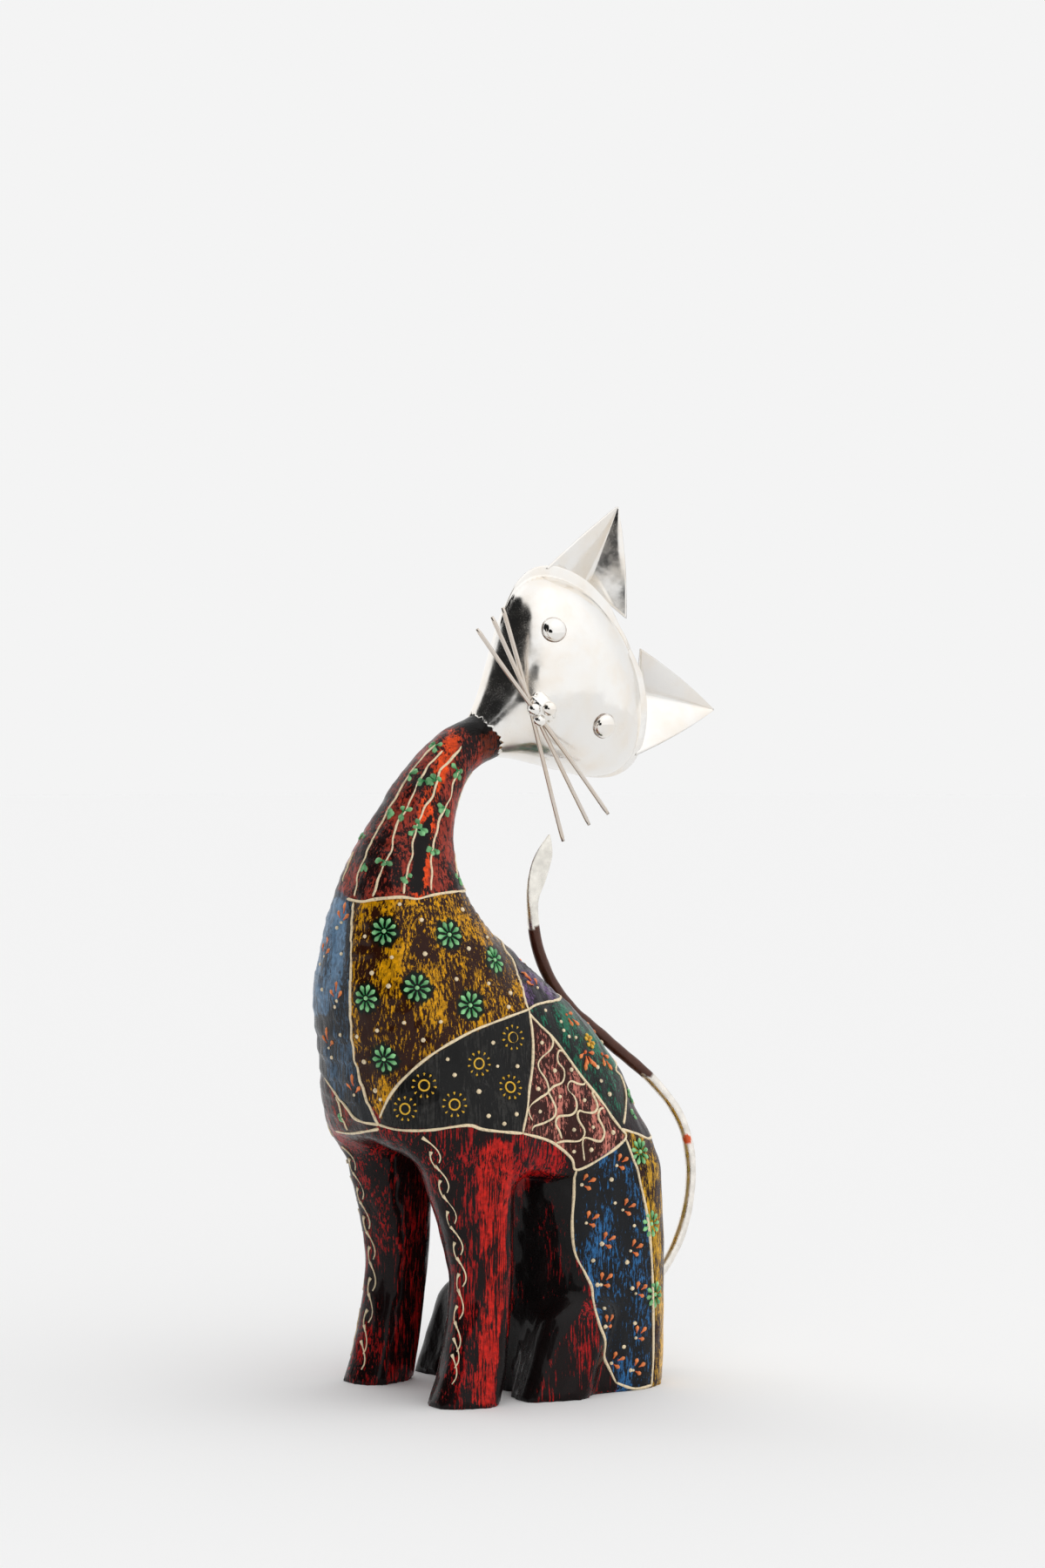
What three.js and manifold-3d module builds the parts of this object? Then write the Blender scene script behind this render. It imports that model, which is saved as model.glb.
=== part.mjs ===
// A cat figurine: a body carved from one block of wood, with a head, ears, eyes, nose, whiskers and tail of
// plated white metal. Millimetres, +Z up. The cat sits facing -Y and its left side is +X; the neck leans back
// and the head is turned to look out over the left shoulder.
import * as THREE from "three";
import { mergeVertices } from "three/addons/utils/BufferGeometryUtils.js";
import Module from "manifold-3d";

const wasm = await Module();
wasm.setup();

// Clearance that pieces which touch keep between them.
const GAP = 0.3;

// Body: the carved wood. A station is one cross-section of the trunk, square to its middle line, given by
// the place of its centre in the plane x = 0, its half depth in that plane and its half width across it.
const BODY_CELL = 6;
const NECK_RADIUS = 8.7;
const NECK_END = { y: -8.7, z: 238.8 };
const TRUNK = [
  { y: NECK_END.y, z: NECK_END.z, depth: NECK_RADIUS, width: NECK_RADIUS },
  { y: -22, z: 232, depth: 9.2, width: 9.8 },
  { y: -32, z: 220, depth: 11.2, width: 12.5 },
  { y: -38.8, z: 205, depth: 14.5, width: 16 },
  { y: -42.8, z: 190, depth: 19.6, width: 21.5 },
  { y: -43.5, z: 174, depth: 24.8, width: 28 },
  { y: -41, z: 158, depth: 31, width: 33.5 },
  { y: -38, z: 142, depth: 34.5, width: 37 },
  { y: -29, z: 125, depth: 43.5, width: 39.5 },
  { y: -15.5, z: 107, depth: 50.5, width: 40.5 },
  { y: -3, z: 90, depth: 52, width: 40.5 },
];
// The withers fill the hollow of the back between the neck and the rump.
const WITHERS = { y: -18, z: 139, radiusX: 28, radiusY: 29, radiusZ: 27.5, blend: 10 };
const TRUNK_SQUARENESS = 2.5;
const NECK_SQUARENESS = 2;
const BELLY = { frontY: -30, frontZ: 93, backY: -2, backZ: 79, round: 8 };
const HAUNCH = { y: 23, depth: 32.5, width: 40, top: 92, squareness: 3.2, waist: 34, taper: 0.03 };
// The trunk runs into the haunch smoothly above, and meets it in a crease below.
const HAUNCH_BLEND = 14;
const BLEND_LOW = 74;
const BLEND_HIGH = 98;
const LEAST_BLEND = 0.05;
const FRONT_LEG = [
  { x: 26.5, y: -31.5, z: 112, depth: 23, width: 14 },
  { x: 27.5, y: -32.5, z: 94, depth: 20, width: 13 },
  { x: 28, y: -31.5, z: 78, depth: 16, width: 12 },
  { x: 28.8, y: -29.3, z: 61, depth: 13, width: 11 },
  { x: 29.6, y: -28, z: 42, depth: 11.3, width: 9.8 },
  { x: 30.3, y: -29.8, z: 28, depth: 11.3, width: 9.8 },
  { x: 30.6, y: -32.8, z: 14, depth: 12, width: 10.2 },
  { x: 30.6, y: -37.5, z: -6, depth: 13, width: 10.8 },
];
const LEG_TURN = 0.3;
const LEG_SQUARENESS = 2.8;
const LEG_BLEND = 12;
const HIND_FOOT = {
  x: 34,
  y: -1.5,
  z: 14,
  halfLength: 13.5,
  halfWidth: 10.5,
  halfHeight: 20,
  round: 7,
  turn: 0.22,
  lean: 0.36,
};
const FOOT_BLEND = 5;
const KNEE_HOLLOW = { x: 44, y: -15, z: 47, radiusX: 24, radiusY: 18, radiusZ: 22, blend: 12 };
const GROUND_ALLOWANCE = 12;
const BODY_ROOM = { low: [-58, -88, -GROUND_ALLOWANCE], high: [58, 72, 258] };
const CUTTER = 400;
const SETTLE_ROUNDS = 3;
const RELAX_ROUNDS = 4;
const RELAX_SHARE = 0.5;

// Head: one hollow form of two pressed halves joined at a rim. It is built along its own axes: up, from the
// neck to the ears; left, towards its left ear; and out, the way that the face looks.
const HEAD_LEAN = THREE.MathUtils.degToRad(60.5);
const HEAD = [
  { up: 0, width: 8.9, front: 8.9, back: 8.9 },
  { up: 7, width: 14, front: 13.5, back: 10.5 },
  { up: 14, width: 20.5, front: 18, back: 12 },
  { up: 22, width: 28, front: 21, back: 13 },
  { up: 30, width: 35, front: 22.5, back: 13.5 },
  { up: 38, width: 39.5, front: 22.5, back: 13.5 },
  { up: 46, width: 40, front: 21, back: 12.5 },
  { up: 53, width: 36.5, front: 18, back: 11 },
  { up: 59, width: 30.5, front: 14, back: 8.5 },
  { up: 64, width: 22.5, front: 9.5, back: 5.5 },
  { up: 67.5, width: 12, front: 4.5, back: 2.5 },
];
const HEAD_SEGMENTS = 32;
const HEAD_SLICES = 15;
const RIM_WIDTH = 3.2;
const RIM_HALF_THICKNESS = 0.8;
const RIM_START_UP = 10;
const RIM_FULL_UP = 60;
const SOCKET_DEPTH = 10;
const SOCKET_RADIUS = 7;
const SOCKET_SIDES = 20;

// Ears: folded sheet, with the fold set back between two side edges.
const EAR_THICKNESS = 1.2;
const EAR = {
  outer: { up: 53, left: 40 },
  inner: { up: 74.5, left: 6.5 },
  tip: { up: 93, left: 44 },
  fold: { up: 70.5, left: 23.5, out: -7 },
  edgeOut: 3,
  bluntness: 0.97,
};

// Small fittings of the face.
const BISECTIONS = 30;
const FACE_SHIFT = -4;
const EYE = { up: 36, left: 20.3, radius: 4.4, height: 2.9, segments: 12 };
const MUZZLE = { up: 14, out: 23.5, radius: 4.6, stretch: 1.35, segments: 12 };
const BEAD_SEGMENTS = 10;
const BEADS = [
  { up: 14.5, left: 0, out: 28.3, radius: 2.7 },
  { up: 10, left: -2.3, out: 26.2, radius: 2.3 },
  { up: 10, left: 2.3, out: 26.2, radius: 2.3 },
];
const WHISKER_RADIUS = 0.8;
const WHISKERS = [
  { name: "whisker_upper", rightUp: 19, leftUp: 0 },
  { name: "whisker_middle", rightUp: 12, leftUp: 11 },
  { name: "whisker_lower", rightUp: 4, leftUp: 19 },
];
const WHISKER_REACH = 43.5;
const WHISKER_OUT = 20.6;
const WHISKER_SIDES = 8;

// Tail: a bent rod whose free end is beaten flat into a leaf. It stands in a hole drilled in the back, and
// keeps to the right of the spine where it passes the body.
const TAIL = [
  { x: 0, y: 47, z: 22, half: 2, flat: 2 },
  { x: 0, y: 58, z: 27, half: 2, flat: 2 },
  { x: 0, y: 71, z: 37.5, half: 2, flat: 2 },
  { x: 0, y: 80, z: 54, half: 2, flat: 2 },
  { x: -1, y: 83.6, z: 74, half: 2, flat: 2 },
  { x: -3, y: 80.4, z: 92, half: 2, flat: 2 },
  { x: -7, y: 70.4, z: 107, half: 2.1, flat: 2.1 },
  { x: -11, y: 52.9, z: 122.5, half: 2.2, flat: 2.2 },
  { x: -13, y: 34.1, z: 139, half: 2.3, flat: 2.2 },
  { x: -12, y: 23, z: 157, half: 2.3, flat: 2.1 },
  { x: -10, y: 18.2, z: 175, half: 2.4, flat: 1.6 },
  { x: -9, y: 19.1, z: 187, half: 3.4, flat: 0.9 },
  { x: -8, y: 22, z: 196, half: 2.6, flat: 0.7 },
  { x: -8, y: 25, z: 203, half: 0.4, flat: 0.4 },
];
const TAIL_STEPS = 52;
const TAIL_SIDES = 8;
const TAIL_HOLE_LENGTH = 21;

const COLOURS = { wood: 0x3a0f0c, metal: 0xd9d4cc };
const wood = new THREE.MeshStandardMaterial({ color: COLOURS.wood, roughness: 0.35, metalness: 0 });
const metal = new THREE.MeshStandardMaterial({ color: COLOURS.metal, roughness: 0.2, metalness: 1 });

// Solids

function solidOf(geometry) {
  const bare = geometry.clone();
  for (const name of ["normal", "uv"]) bare.deleteAttribute(name);
  const merged = mergeVertices(bare, 1e-4);
  return new wasm.Manifold(
    new wasm.Mesh({
      numProp: 3,
      vertProperties: new Float32Array(merged.attributes.position.array),
      triVerts: new Uint32Array(merged.index.array),
    }),
  );
}

function geometryOf(solid) {
  const mesh = solid.getMesh();
  const geometry = new THREE.BufferGeometry();
  geometry.setAttribute("position", new THREE.BufferAttribute(new Float32Array(mesh.vertProperties), 3));
  geometry.setIndex(new THREE.BufferAttribute(new Uint32Array(mesh.triVerts), 1));
  geometry.computeVertexNormals();
  return geometry;
}

function meshOf(name, solid, material) {
  const mesh = new THREE.Mesh(geometryOf(solid), material);
  mesh.name = name;
  return mesh;
}

// A closed skin over rings of points, all with as many points, with a fan at each end.
function skinRings(rings) {
  const sides = rings[0].length;
  const points = rings.flat();
  const triangles = [];
  for (let r = 0; r + 1 < rings.length; r++) {
    for (let s = 0; s < sides; s++) {
      const next = (s + 1) % sides;
      const [a, b, c, d] = [r * sides + s, r * sides + next, (r + 1) * sides + s, (r + 1) * sides + next];
      triangles.push(a, b, d, a, d, c);
    }
  }
  for (const [ring, start] of [[rings[0], 0], [rings.at(-1), (rings.length - 1) * sides]]) {
    const middle = points.length;
    points.push(ring.reduce((sum, p) => sum.add(p), new THREE.Vector3()).divideScalar(sides));
    for (let s = 0; s < sides; s++) {
      const next = (s + 1) % sides;
      triangles.push(middle, ...(start === 0 ? [start + next, start + s] : [start + s, start + next]));
    }
  }
  const geometry = new THREE.BufferGeometry().setFromPoints(points);
  geometry.setIndex(triangles);
  const solid = solidOf(geometry);
  if (solid.volume() > 0) return solid;
  for (let i = 0; i < triangles.length; i += 3) {
    [triangles[i + 1], triangles[i + 2]] = [triangles[i + 2], triangles[i + 1]];
  }
  geometry.setIndex(triangles);
  return solidOf(geometry);
}

// Smooth interpolation through stations: every field of the stations at place t, from 0 to 1.
function stationAt(stations, t) {
  const place = THREE.MathUtils.clamp(t, 0, 1) * (stations.length - 1);
  const i = Math.min(Math.floor(place), stations.length - 2);
  const f = place - i;
  const at = (k) => stations[THREE.MathUtils.clamp(k, 0, stations.length - 1)];
  const found = {};
  for (const key of Object.keys(stations[0])) {
    if (typeof stations[0][key] !== "number") continue;
    const [a, b, c, d] = [at(i - 1)[key], at(i)[key], at(i + 1)[key], at(i + 2)[key]];
    found[key] = b + 0.5 * f * (c - a + f * (2 * a - 5 * b + 4 * c - d + f * (3 * (b - c) + d - a)));
  }
  return found;
}

// Carved body, as a field that is negative inside the wood

function smoothMin(a, b, blend) {
  const h = Math.max(blend - Math.abs(a - b), 0) / blend;
  return Math.min(a, b) - (h * h * blend) / 4;
}

function smoothMax(a, b, blend) {
  return -smoothMin(-a, -b, blend);
}

function sectionDistance(across, along, width, depth, squareness) {
  const a = Math.abs(across) / width;
  const b = Math.abs(along) / depth;
  const reach = (a ** squareness + b ** squareness) ** (1 / squareness);
  return (reach - 1) * Math.min(width, depth);
}

// The nearest place on a line of stations to a point: its share of the line, and the offset from it.
function nearestOn(stations, point, keys) {
  let best = { distance: Infinity, t: 0 };
  for (let i = 0; i + 1 < stations.length; i++) {
    let dot = 0;
    let length = 0;
    for (const k of keys) {
      const step = stations[i + 1][k] - stations[i][k];
      dot += (point[k] - stations[i][k]) * step;
      length += step * step;
    }
    const share = THREE.MathUtils.clamp(dot / length, 0, 1);
    const distance = Math.hypot(
      ...keys.map((k) => point[k] - THREE.MathUtils.lerp(stations[i][k], stations[i + 1][k], share)),
    );
    if (distance < best.distance) best = { distance, t: (i + share) / (stations.length - 1) };
  }
  return best;
}

// The trunk's line of stations, resampled finely so that its nearest place moves smoothly.
const TRUNK_LINE = Array.from({ length: 41 }, (_, i) => stationAt(TRUNK, i / 40));

function trunkField(p) {
  const near = nearestOn(TRUNK_LINE, p, ["y", "z"]);
  const s = stationAt(TRUNK_LINE, near.t);
  const squareness = THREE.MathUtils.lerp(NECK_SQUARENESS, TRUNK_SQUARENESS, Math.min(1, near.t * 2));
  const slope = THREE.MathUtils.mapLinear(p.y, BELLY.frontY, BELLY.backY, BELLY.frontZ, BELLY.backZ);
  const belly = THREE.MathUtils.clamp(slope, BELLY.backZ, BELLY.frontZ);
  return smoothMax(sectionDistance(p.x, near.distance, s.width, s.depth, squareness), belly - p.z, BELLY.round);
}

function haunchField(p) {
  const lift = (p.z - HAUNCH.waist) / HAUNCH.top;
  const shrink = 1 - HAUNCH.taper * (2 * lift) ** 2;
  const side = sectionDistance(p.x, p.y - HAUNCH.y, HAUNCH.width * shrink, HAUNCH.depth * shrink, HAUNCH.squareness);
  return smoothMax(side, p.z - HAUNCH.top, HAUNCH_BLEND);
}

function frontLegField(p) {
  const s = legStationAt(p.z);
  const [c, t] = [Math.cos(LEG_TURN), Math.sin(LEG_TURN)];
  const [dx, dy] = [p.x - s.x, p.y - s.y];
  const side = sectionDistance(c * dx - t * dy, t * dx + c * dy, s.width, s.depth, LEG_SQUARENESS);
  return smoothMax(side, p.z - FRONT_LEG[0].z, LEG_BLEND);
}

// The front leg's section at a height, found by its place down the leg.
function legStationAt(z) {
  const top = FRONT_LEG[0].z;
  const bottom = FRONT_LEG.at(-1).z;
  return stationAt(FRONT_LEG, (top - z) / (top - bottom));
}

// The hind foot: a rounded block that leans back as it rises and splays out towards the heel.
function hindFootField(p) {
  const f = HIND_FOOT;
  const [c, s] = [Math.cos(f.turn), Math.sin(f.turn)];
  const [dx, dy] = [p.x - f.x, p.y - f.y - f.lean * p.z];
  const away = [
    Math.abs(c * dx - s * dy) - f.halfWidth + f.round,
    Math.abs(s * dx + c * dy) - f.halfLength + f.round,
    Math.abs(p.z - f.z) - f.halfHeight + f.round,
  ];
  const outside = Math.hypot(...away.map((a) => Math.max(a, 0)));
  return outside + Math.min(Math.max(...away), 0) - f.round;
}

function ellipsoidDistance(p, e) {
  const reach = Math.hypot((p.x - (e.x ?? 0)) / e.radiusX, (p.y - e.y) / e.radiusY, (p.z - e.z) / e.radiusZ);
  return (reach - 1) * Math.min(e.radiusX, e.radiusY, e.radiusZ);
}

function bodyField(x, y, z) {
  const p = { x: Math.abs(x), y, z };
  const front = smoothMin(trunkField(p), frontLegField(p), LEG_BLEND);
  const thigh = smoothMax(haunchField(p), -ellipsoidDistance(p, KNEE_HOLLOW), KNEE_HOLLOW.blend);
  const rear = smoothMin(thigh, hindFootField(p), FOOT_BLEND);
  const blend = HAUNCH_BLEND * Math.max(THREE.MathUtils.smoothstep(z, BLEND_LOW, BLEND_HIGH), LEAST_BLEND);
  const wood = smoothMin(smoothMin(front, rear, blend), ellipsoidDistance(p, WITHERS), WITHERS.blend);
  return Math.max(wood, -z - GROUND_ALLOWANCE / 2);
}

// Moves a point onto the place where a field is zero, by less than a cell.
function settle(point, field, cell) {
  const step = cell / 8;
  for (let round = 0; round < SETTLE_ROUNDS; round++) {
    const here = field(point.x, point.y, point.z);
    const slope = new THREE.Vector3(
      field(point.x + step, point.y, point.z) - field(point.x - step, point.y, point.z),
      field(point.x, point.y + step, point.z) - field(point.x, point.y - step, point.z),
      field(point.x, point.y, point.z + step) - field(point.x, point.y, point.z - step),
    ).divideScalar(2 * step);
    const move = slope.multiplyScalar(-here / Math.max(slope.lengthSq(), 0.1));
    point.add(move.clampLength(0, cell / 4));
  }
}

// Evens out a skin: each point slides to the middle of its neighbours, then back onto the surface.
function relax(points, quads, field, cell) {
  const neighbours = points.map(() => new Set());
  for (const quad of quads) {
    quad.forEach((point, i) => {
      neighbours[point].add(quad[(i + 1) % 4]);
      neighbours[point].add(quad[(i + 3) % 4]);
    });
  }
  for (let round = 0; round < RELAX_ROUNDS; round++) {
    const middles = neighbours.map((near) => {
      const sum = new THREE.Vector3();
      for (const other of near) sum.add(points[other]);
      return sum.divideScalar(near.size);
    });
    points.forEach((point, i) => {
      point.lerp(middles[i], RELAX_SHARE);
      settle(point, field, cell);
    });
  }
}

// A field's values at the corners of a grid of cells.
function sampleField(field, low, counts, cell) {
  const values = new Float64Array(counts[0] * counts[1] * counts[2]);
  for (let n = 0; n < values.length; n++) {
    const i = n % counts[0];
    const j = Math.floor(n / counts[0]) % counts[1];
    const k = Math.floor(n / (counts[0] * counts[1]));
    values[n] = field(low[0] + i * cell, low[1] + j * cell, low[2] + k * cell);
  }
  return values;
}

// The twelve edges of a cell, as pairs of corners.
const CELL_CORNERS = Array.from({ length: 8 }, (_, c) => [c & 1, (c >> 1) & 1, (c >> 2) & 1]);
const CELL_EDGES = CELL_CORNERS.flatMap((from, a) =>
  [1, 2, 4].filter((bit) => !(a & bit)).map((bit) => [from, CELL_CORNERS[a | bit]]),
);

// The skin where a field is zero: a point in each cell that it crosses and a quad round each crossed edge.
function skinField(field, low, high, cell) {
  const counts = high.map((h, i) => Math.ceil((h - low[i]) / cell) + 1);
  const step = [1, counts[0], counts[0] * counts[1]];
  const offset = (corner) => corner[0] * step[0] + corner[1] * step[1] + corner[2] * step[2];
  const values = sampleField(field, low, counts, cell);
  const points = [];
  const pointOf = new Map();
  for (let n = 0; n < values.length; n++) {
    const place = [n % counts[0], Math.floor(n / step[1]) % counts[1], Math.floor(n / step[2])];
    if (place.some((p, axis) => p + 1 >= counts[axis])) continue;
    const middle = crossingMiddle(values, n, offset);
    if (!middle) continue;
    pointOf.set(n, points.length);
    points.push(new THREE.Vector3(...middle.map((m, axis) => low[axis] + (place[axis] + m) * cell)));
  }
  const quads = [];
  for (const n of pointOf.keys()) {
    for (let axis = 0; axis < 3; axis++) {
      const inside = values[n] < 0;
      if (inside === values[n + step[axis]] < 0) continue;
      const [u, v] = [step[(axis + 1) % 3], step[(axis + 2) % 3]];
      const quad = [n, n - u, n - u - v, n - v].map((c) => pointOf.get(c));
      quads.push(inside ? quad : quad.reverse());
    }
  }
  for (const point of points) settle(point, field, cell);
  relax(points, quads, field, cell);
  const geometry = new THREE.BufferGeometry().setFromPoints(points);
  geometry.setIndex(quads.flatMap(([a, b, c, d]) => [a, b, c, a, c, d]));
  return solidOf(geometry);
}

// The middle of the places where the zero surface crosses a cell's edges, as shares of the cell.
function crossingMiddle(values, n, offset) {
  const sum = [0, 0, 0];
  let crossed = 0;
  for (const [from, to] of CELL_EDGES) {
    const [va, vb] = [values[n + offset(from)], values[n + offset(to)]];
    if (va < 0 === vb < 0) continue;
    const share = va / (va - vb);
    for (let axis = 0; axis < 3; axis++) sum[axis] += from[axis] + share * (to[axis] - from[axis]);
    crossed++;
  }
  return crossed > 0 ? sum.map((s) => s / crossed) : null;
}

// Frames and rods

// The head's own axes at the end of the neck: x is its left, y is up and z is out of the face.
function headFrame() {
  const up = new THREE.Vector3(0, Math.sin(HEAD_LEAN), Math.cos(HEAD_LEAN));
  const out = new THREE.Vector3(1, 0, 0);
  const left = new THREE.Vector3().crossVectors(up, out);
  const frame = new THREE.Matrix4().makeBasis(left, up, out);
  return frame.setPosition(0, NECK_END.y, NECK_END.z);
}

// A round bar from one point to another.
function bar(from, to, radius, sides) {
  const along = new THREE.Vector3().subVectors(to, from);
  const geometry = new THREE.CylinderGeometry(radius, radius, along.length(), sides);
  geometry.applyQuaternion(
    new THREE.Quaternion().setFromUnitVectors(new THREE.Vector3(0, 1, 0), along.clone().normalize()),
  );
  const middle = new THREE.Vector3().addVectors(from, to).multiplyScalar(0.5);
  geometry.translate(middle.x, middle.y, middle.z);
  return solidOf(geometry);
}

function headPoint(up, left, out) {
  return new THREE.Vector3(left, up, out);
}

// Tail

const TAIL_LINE = Array.from({ length: TAIL_STEPS + 1 }, (_, i) => stationAt(TAIL, i / TAIL_STEPS));

function tailRings() {
  return TAIL_LINE.map((s, i) => {
    const [before, after] = [TAIL_LINE[Math.max(i - 1, 0)], TAIL_LINE[Math.min(i + 1, TAIL_STEPS)]];
    const along = new THREE.Vector3(after.x - before.x, after.y - before.y, after.z - before.z).normalize();
    const wide = new THREE.Vector3().crossVectors(along, new THREE.Vector3(1, 0, 0)).normalize();
    const thin = new THREE.Vector3().crossVectors(wide, along);
    return Array.from({ length: TAIL_SIDES }, (_, k) => {
      const angle = (2 * Math.PI * k) / TAIL_SIDES;
      return new THREE.Vector3(s.x, s.y, s.z)
        .addScaledVector(wide, s.half * Math.cos(angle))
        .addScaledVector(thin, s.flat * Math.sin(angle));
    });
  });
}

function tail() {
  return skinRings(tailRings());
}

// The drilled hole follows the root of the tail, a little wider and deeper than the rod.
function tailHole() {
  const root = new THREE.Vector3(0, TAIL[0].y, TAIL[0].z);
  const outward = new THREE.Vector3(0, TAIL[1].y, TAIL[1].z).sub(root).normalize();
  const deep = root.clone().addScaledVector(outward, -2 * GAP);
  const mouth = root.clone().addScaledVector(outward, TAIL_HOLE_LENGTH);
  return bar(deep, mouth, TAIL[0].half + 2 * GAP, 2 * TAIL_SIDES);
}

// Body

function body() {
  const carved = skinField(bodyField, BODY_ROOM.low, BODY_ROOM.high, BODY_CELL);
  const above = new THREE.BoxGeometry(CUTTER, CUTTER, CUTTER);
  above.translate(0, 0, CUTTER / 2);
  const frame = headFrame();
  const beyondNeck = new THREE.BoxGeometry(CUTTER, CUTTER, CUTTER);
  beyondNeck.translate(0, CUTTER / 2, 0);
  beyondNeck.applyMatrix4(frame);
  const tenonEnd = headPoint(SOCKET_DEPTH - 2 * GAP, 0, 0).applyMatrix4(frame);
  const tenonStart = headPoint(-NECK_RADIUS, 0, 0).applyMatrix4(frame);
  const tenon = bar(tenonStart, tenonEnd, SOCKET_RADIUS - GAP, SOCKET_SIDES);
  const cut = carved.intersect(solidOf(above)).subtract(solidOf(beyondNeck));
  return cut.add(tenon).subtract(tailHole());
}

// Head

function headRings() {
  const rings = [];
  for (let i = 0; i <= HEAD_SLICES; i++) {
    const s = stationAt(HEAD, i / HEAD_SLICES);
    rings.push(
      Array.from({ length: HEAD_SEGMENTS }, (_, k) => {
        const angle = (2 * Math.PI * k) / HEAD_SEGMENTS;
        const out = Math.sin(angle) * (Math.sin(angle) > 0 ? s.front : s.back);
        return headPoint(s.up, s.width * Math.cos(angle), out);
      }),
    );
  }
  return rings;
}

// The rim where the two halves meet: a thin band round the outline, wider towards the ears. It can be asked
// for with clearance on every side.
function headRim(clearance) {
  const shape = new THREE.Shape();
  const side = (sign) => {
    const found = [];
    for (let i = 0; i <= 2 * HEAD_SLICES; i++) {
      const s = stationAt(HEAD, i / (2 * HEAD_SLICES));
      if (s.up < RIM_START_UP) continue;
      const grown = RIM_WIDTH * THREE.MathUtils.smoothstep(s.up, RIM_START_UP, RIM_FULL_UP) + clearance;
      found.push(new THREE.Vector2(sign * (s.width + grown), s.up + grown));
    }
    return found;
  };
  shape.setFromPoints([...side(1), ...side(-1).reverse()]);
  const thickness = 2 * (RIM_HALF_THICKNESS + clearance);
  const rim = new THREE.ExtrudeGeometry(shape, { depth: thickness, bevelEnabled: false });
  rim.translate(0, 0, -thickness / 2);
  return solidOf(rim);
}

function head() {
  const socket = bar(headPoint(-SOCKET_DEPTH, 0, 0), headPoint(SOCKET_DEPTH, 0, 0), SOCKET_RADIUS, SOCKET_SIDES);
  return skinRings(headRings()).add(headRim(0)).subtract(socket);
}

// One ear as two flat leaves of sheet that meet at the fold, let into the rim of the head. The sign is 1 for
// the left ear and -1 for the right.
function ear(sign) {
  const at = (p, out) => headPoint(p.up, sign * p.left, out);
  const corners = [at(EAR.outer, EAR.edgeOut), at(EAR.fold, EAR.fold.out), at(EAR.inner, EAR.edgeOut)];
  const tip = at(EAR.tip, 0);
  const thickness = new THREE.Vector3(0, 0, -EAR_THICKNESS);
  const rings = [corners, corners.map((c) => c.clone().lerp(tip, EAR.bluntness))].map((line) => [
    ...line,
    ...line.map((p) => p.clone().add(thickness)).reverse(),
  ]);
  return skinRings(rings).subtract(headRim(GAP));
}

function eye(sign) {
  const profile = Array.from({ length: EYE.segments / 2 + 1 }, (_, i) => {
    const angle = (Math.PI / 2) * (i / (EYE.segments / 2));
    return new THREE.Vector2(EYE.radius * Math.sin(angle), EYE.height * Math.cos(angle));
  });
  const button = new THREE.LatheGeometry([...profile, new THREE.Vector2(0, 0)].reverse(), EYE.segments);
  const [seat, normal] = faceSeat(EYE.up, FACE_SHIFT + sign * EYE.left);
  button.applyQuaternion(new THREE.Quaternion().setFromUnitVectors(new THREE.Vector3(0, 1, 0), normal));
  seat.addScaledVector(normal, GAP);
  button.translate(seat.x, seat.y, seat.z);
  return solidOf(button);
}

// The point of the face over a place given by up and left.
function facePoint(up, left) {
  let [low, high] = [0, 1];
  for (let i = 0; i < BISECTIONS; i++) {
    const middle = (low + high) / 2;
    if (stationAt(HEAD, middle).up < up) low = middle;
    else high = middle;
  }
  const s = stationAt(HEAD, low);
  return headPoint(up, left, s.front * Math.sqrt(Math.max(0, 1 - (left / s.width) ** 2)));
}

// That point, and the way that the face looks there.
function faceSeat(up, left) {
  const step = 1;
  const seat = facePoint(up, left);
  const alongUp = facePoint(up + step, left).sub(facePoint(up - step, left));
  const alongLeft = facePoint(up, left + step).sub(facePoint(up, left - step));
  return [seat, new THREE.Vector3().crossVectors(alongLeft, alongUp).normalize()];
}

function whiskerEnds(index) {
  const w = WHISKERS[index];
  const out = WHISKER_OUT + WHISKER_RADIUS + index * (2 * WHISKER_RADIUS + GAP);
  return [headPoint(w.rightUp, -WHISKER_REACH, out), headPoint(w.leftUp, WHISKER_REACH, out)];
}

function whisker(index) {
  return bar(...whiskerEnds(index), WHISKER_RADIUS, WHISKER_SIDES);
}

// Nose and muzzle: a blob of solder with three beads, through which the whiskers pass.
function muzzle() {
  const blob = new THREE.SphereGeometry(MUZZLE.radius, MUZZLE.segments, MUZZLE.segments / 2);
  blob.scale(MUZZLE.stretch, 1, 1);
  blob.translate(FACE_SHIFT, MUZZLE.up, MUZZLE.out);
  let solid = solidOf(blob);
  for (const b of BEADS) {
    const bead = new THREE.SphereGeometry(b.radius, BEAD_SEGMENTS, BEAD_SEGMENTS / 2);
    bead.translate(FACE_SHIFT + b.left, b.up, b.out);
    solid = solid.add(solidOf(bead));
  }
  WHISKERS.forEach((_, i) => {
    solid = solid.subtract(bar(...whiskerEnds(i), WHISKER_RADIUS + GAP, WHISKER_SIDES));
  });
  return solid;
}

// Assembly

function headGroup() {
  const group = new THREE.Group();
  group.add(meshOf("head", head(), metal));
  group.add(meshOf("ear_left", ear(1), metal));
  group.add(meshOf("ear_right", ear(-1), metal));
  group.add(meshOf("eye_left", eye(1), metal));
  group.add(meshOf("eye_right", eye(-1), metal));
  group.add(meshOf("muzzle", muzzle(), metal));
  WHISKERS.forEach((w, i) => group.add(meshOf(w.name, whisker(i), metal)));
  headFrame().decompose(group.position, group.quaternion, group.scale);
  return group;
}

const cat = new THREE.Group();
cat.add(meshOf("body", body(), wood));
cat.add(meshOf("tail", tail(), metal));
cat.add(headGroup());

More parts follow.
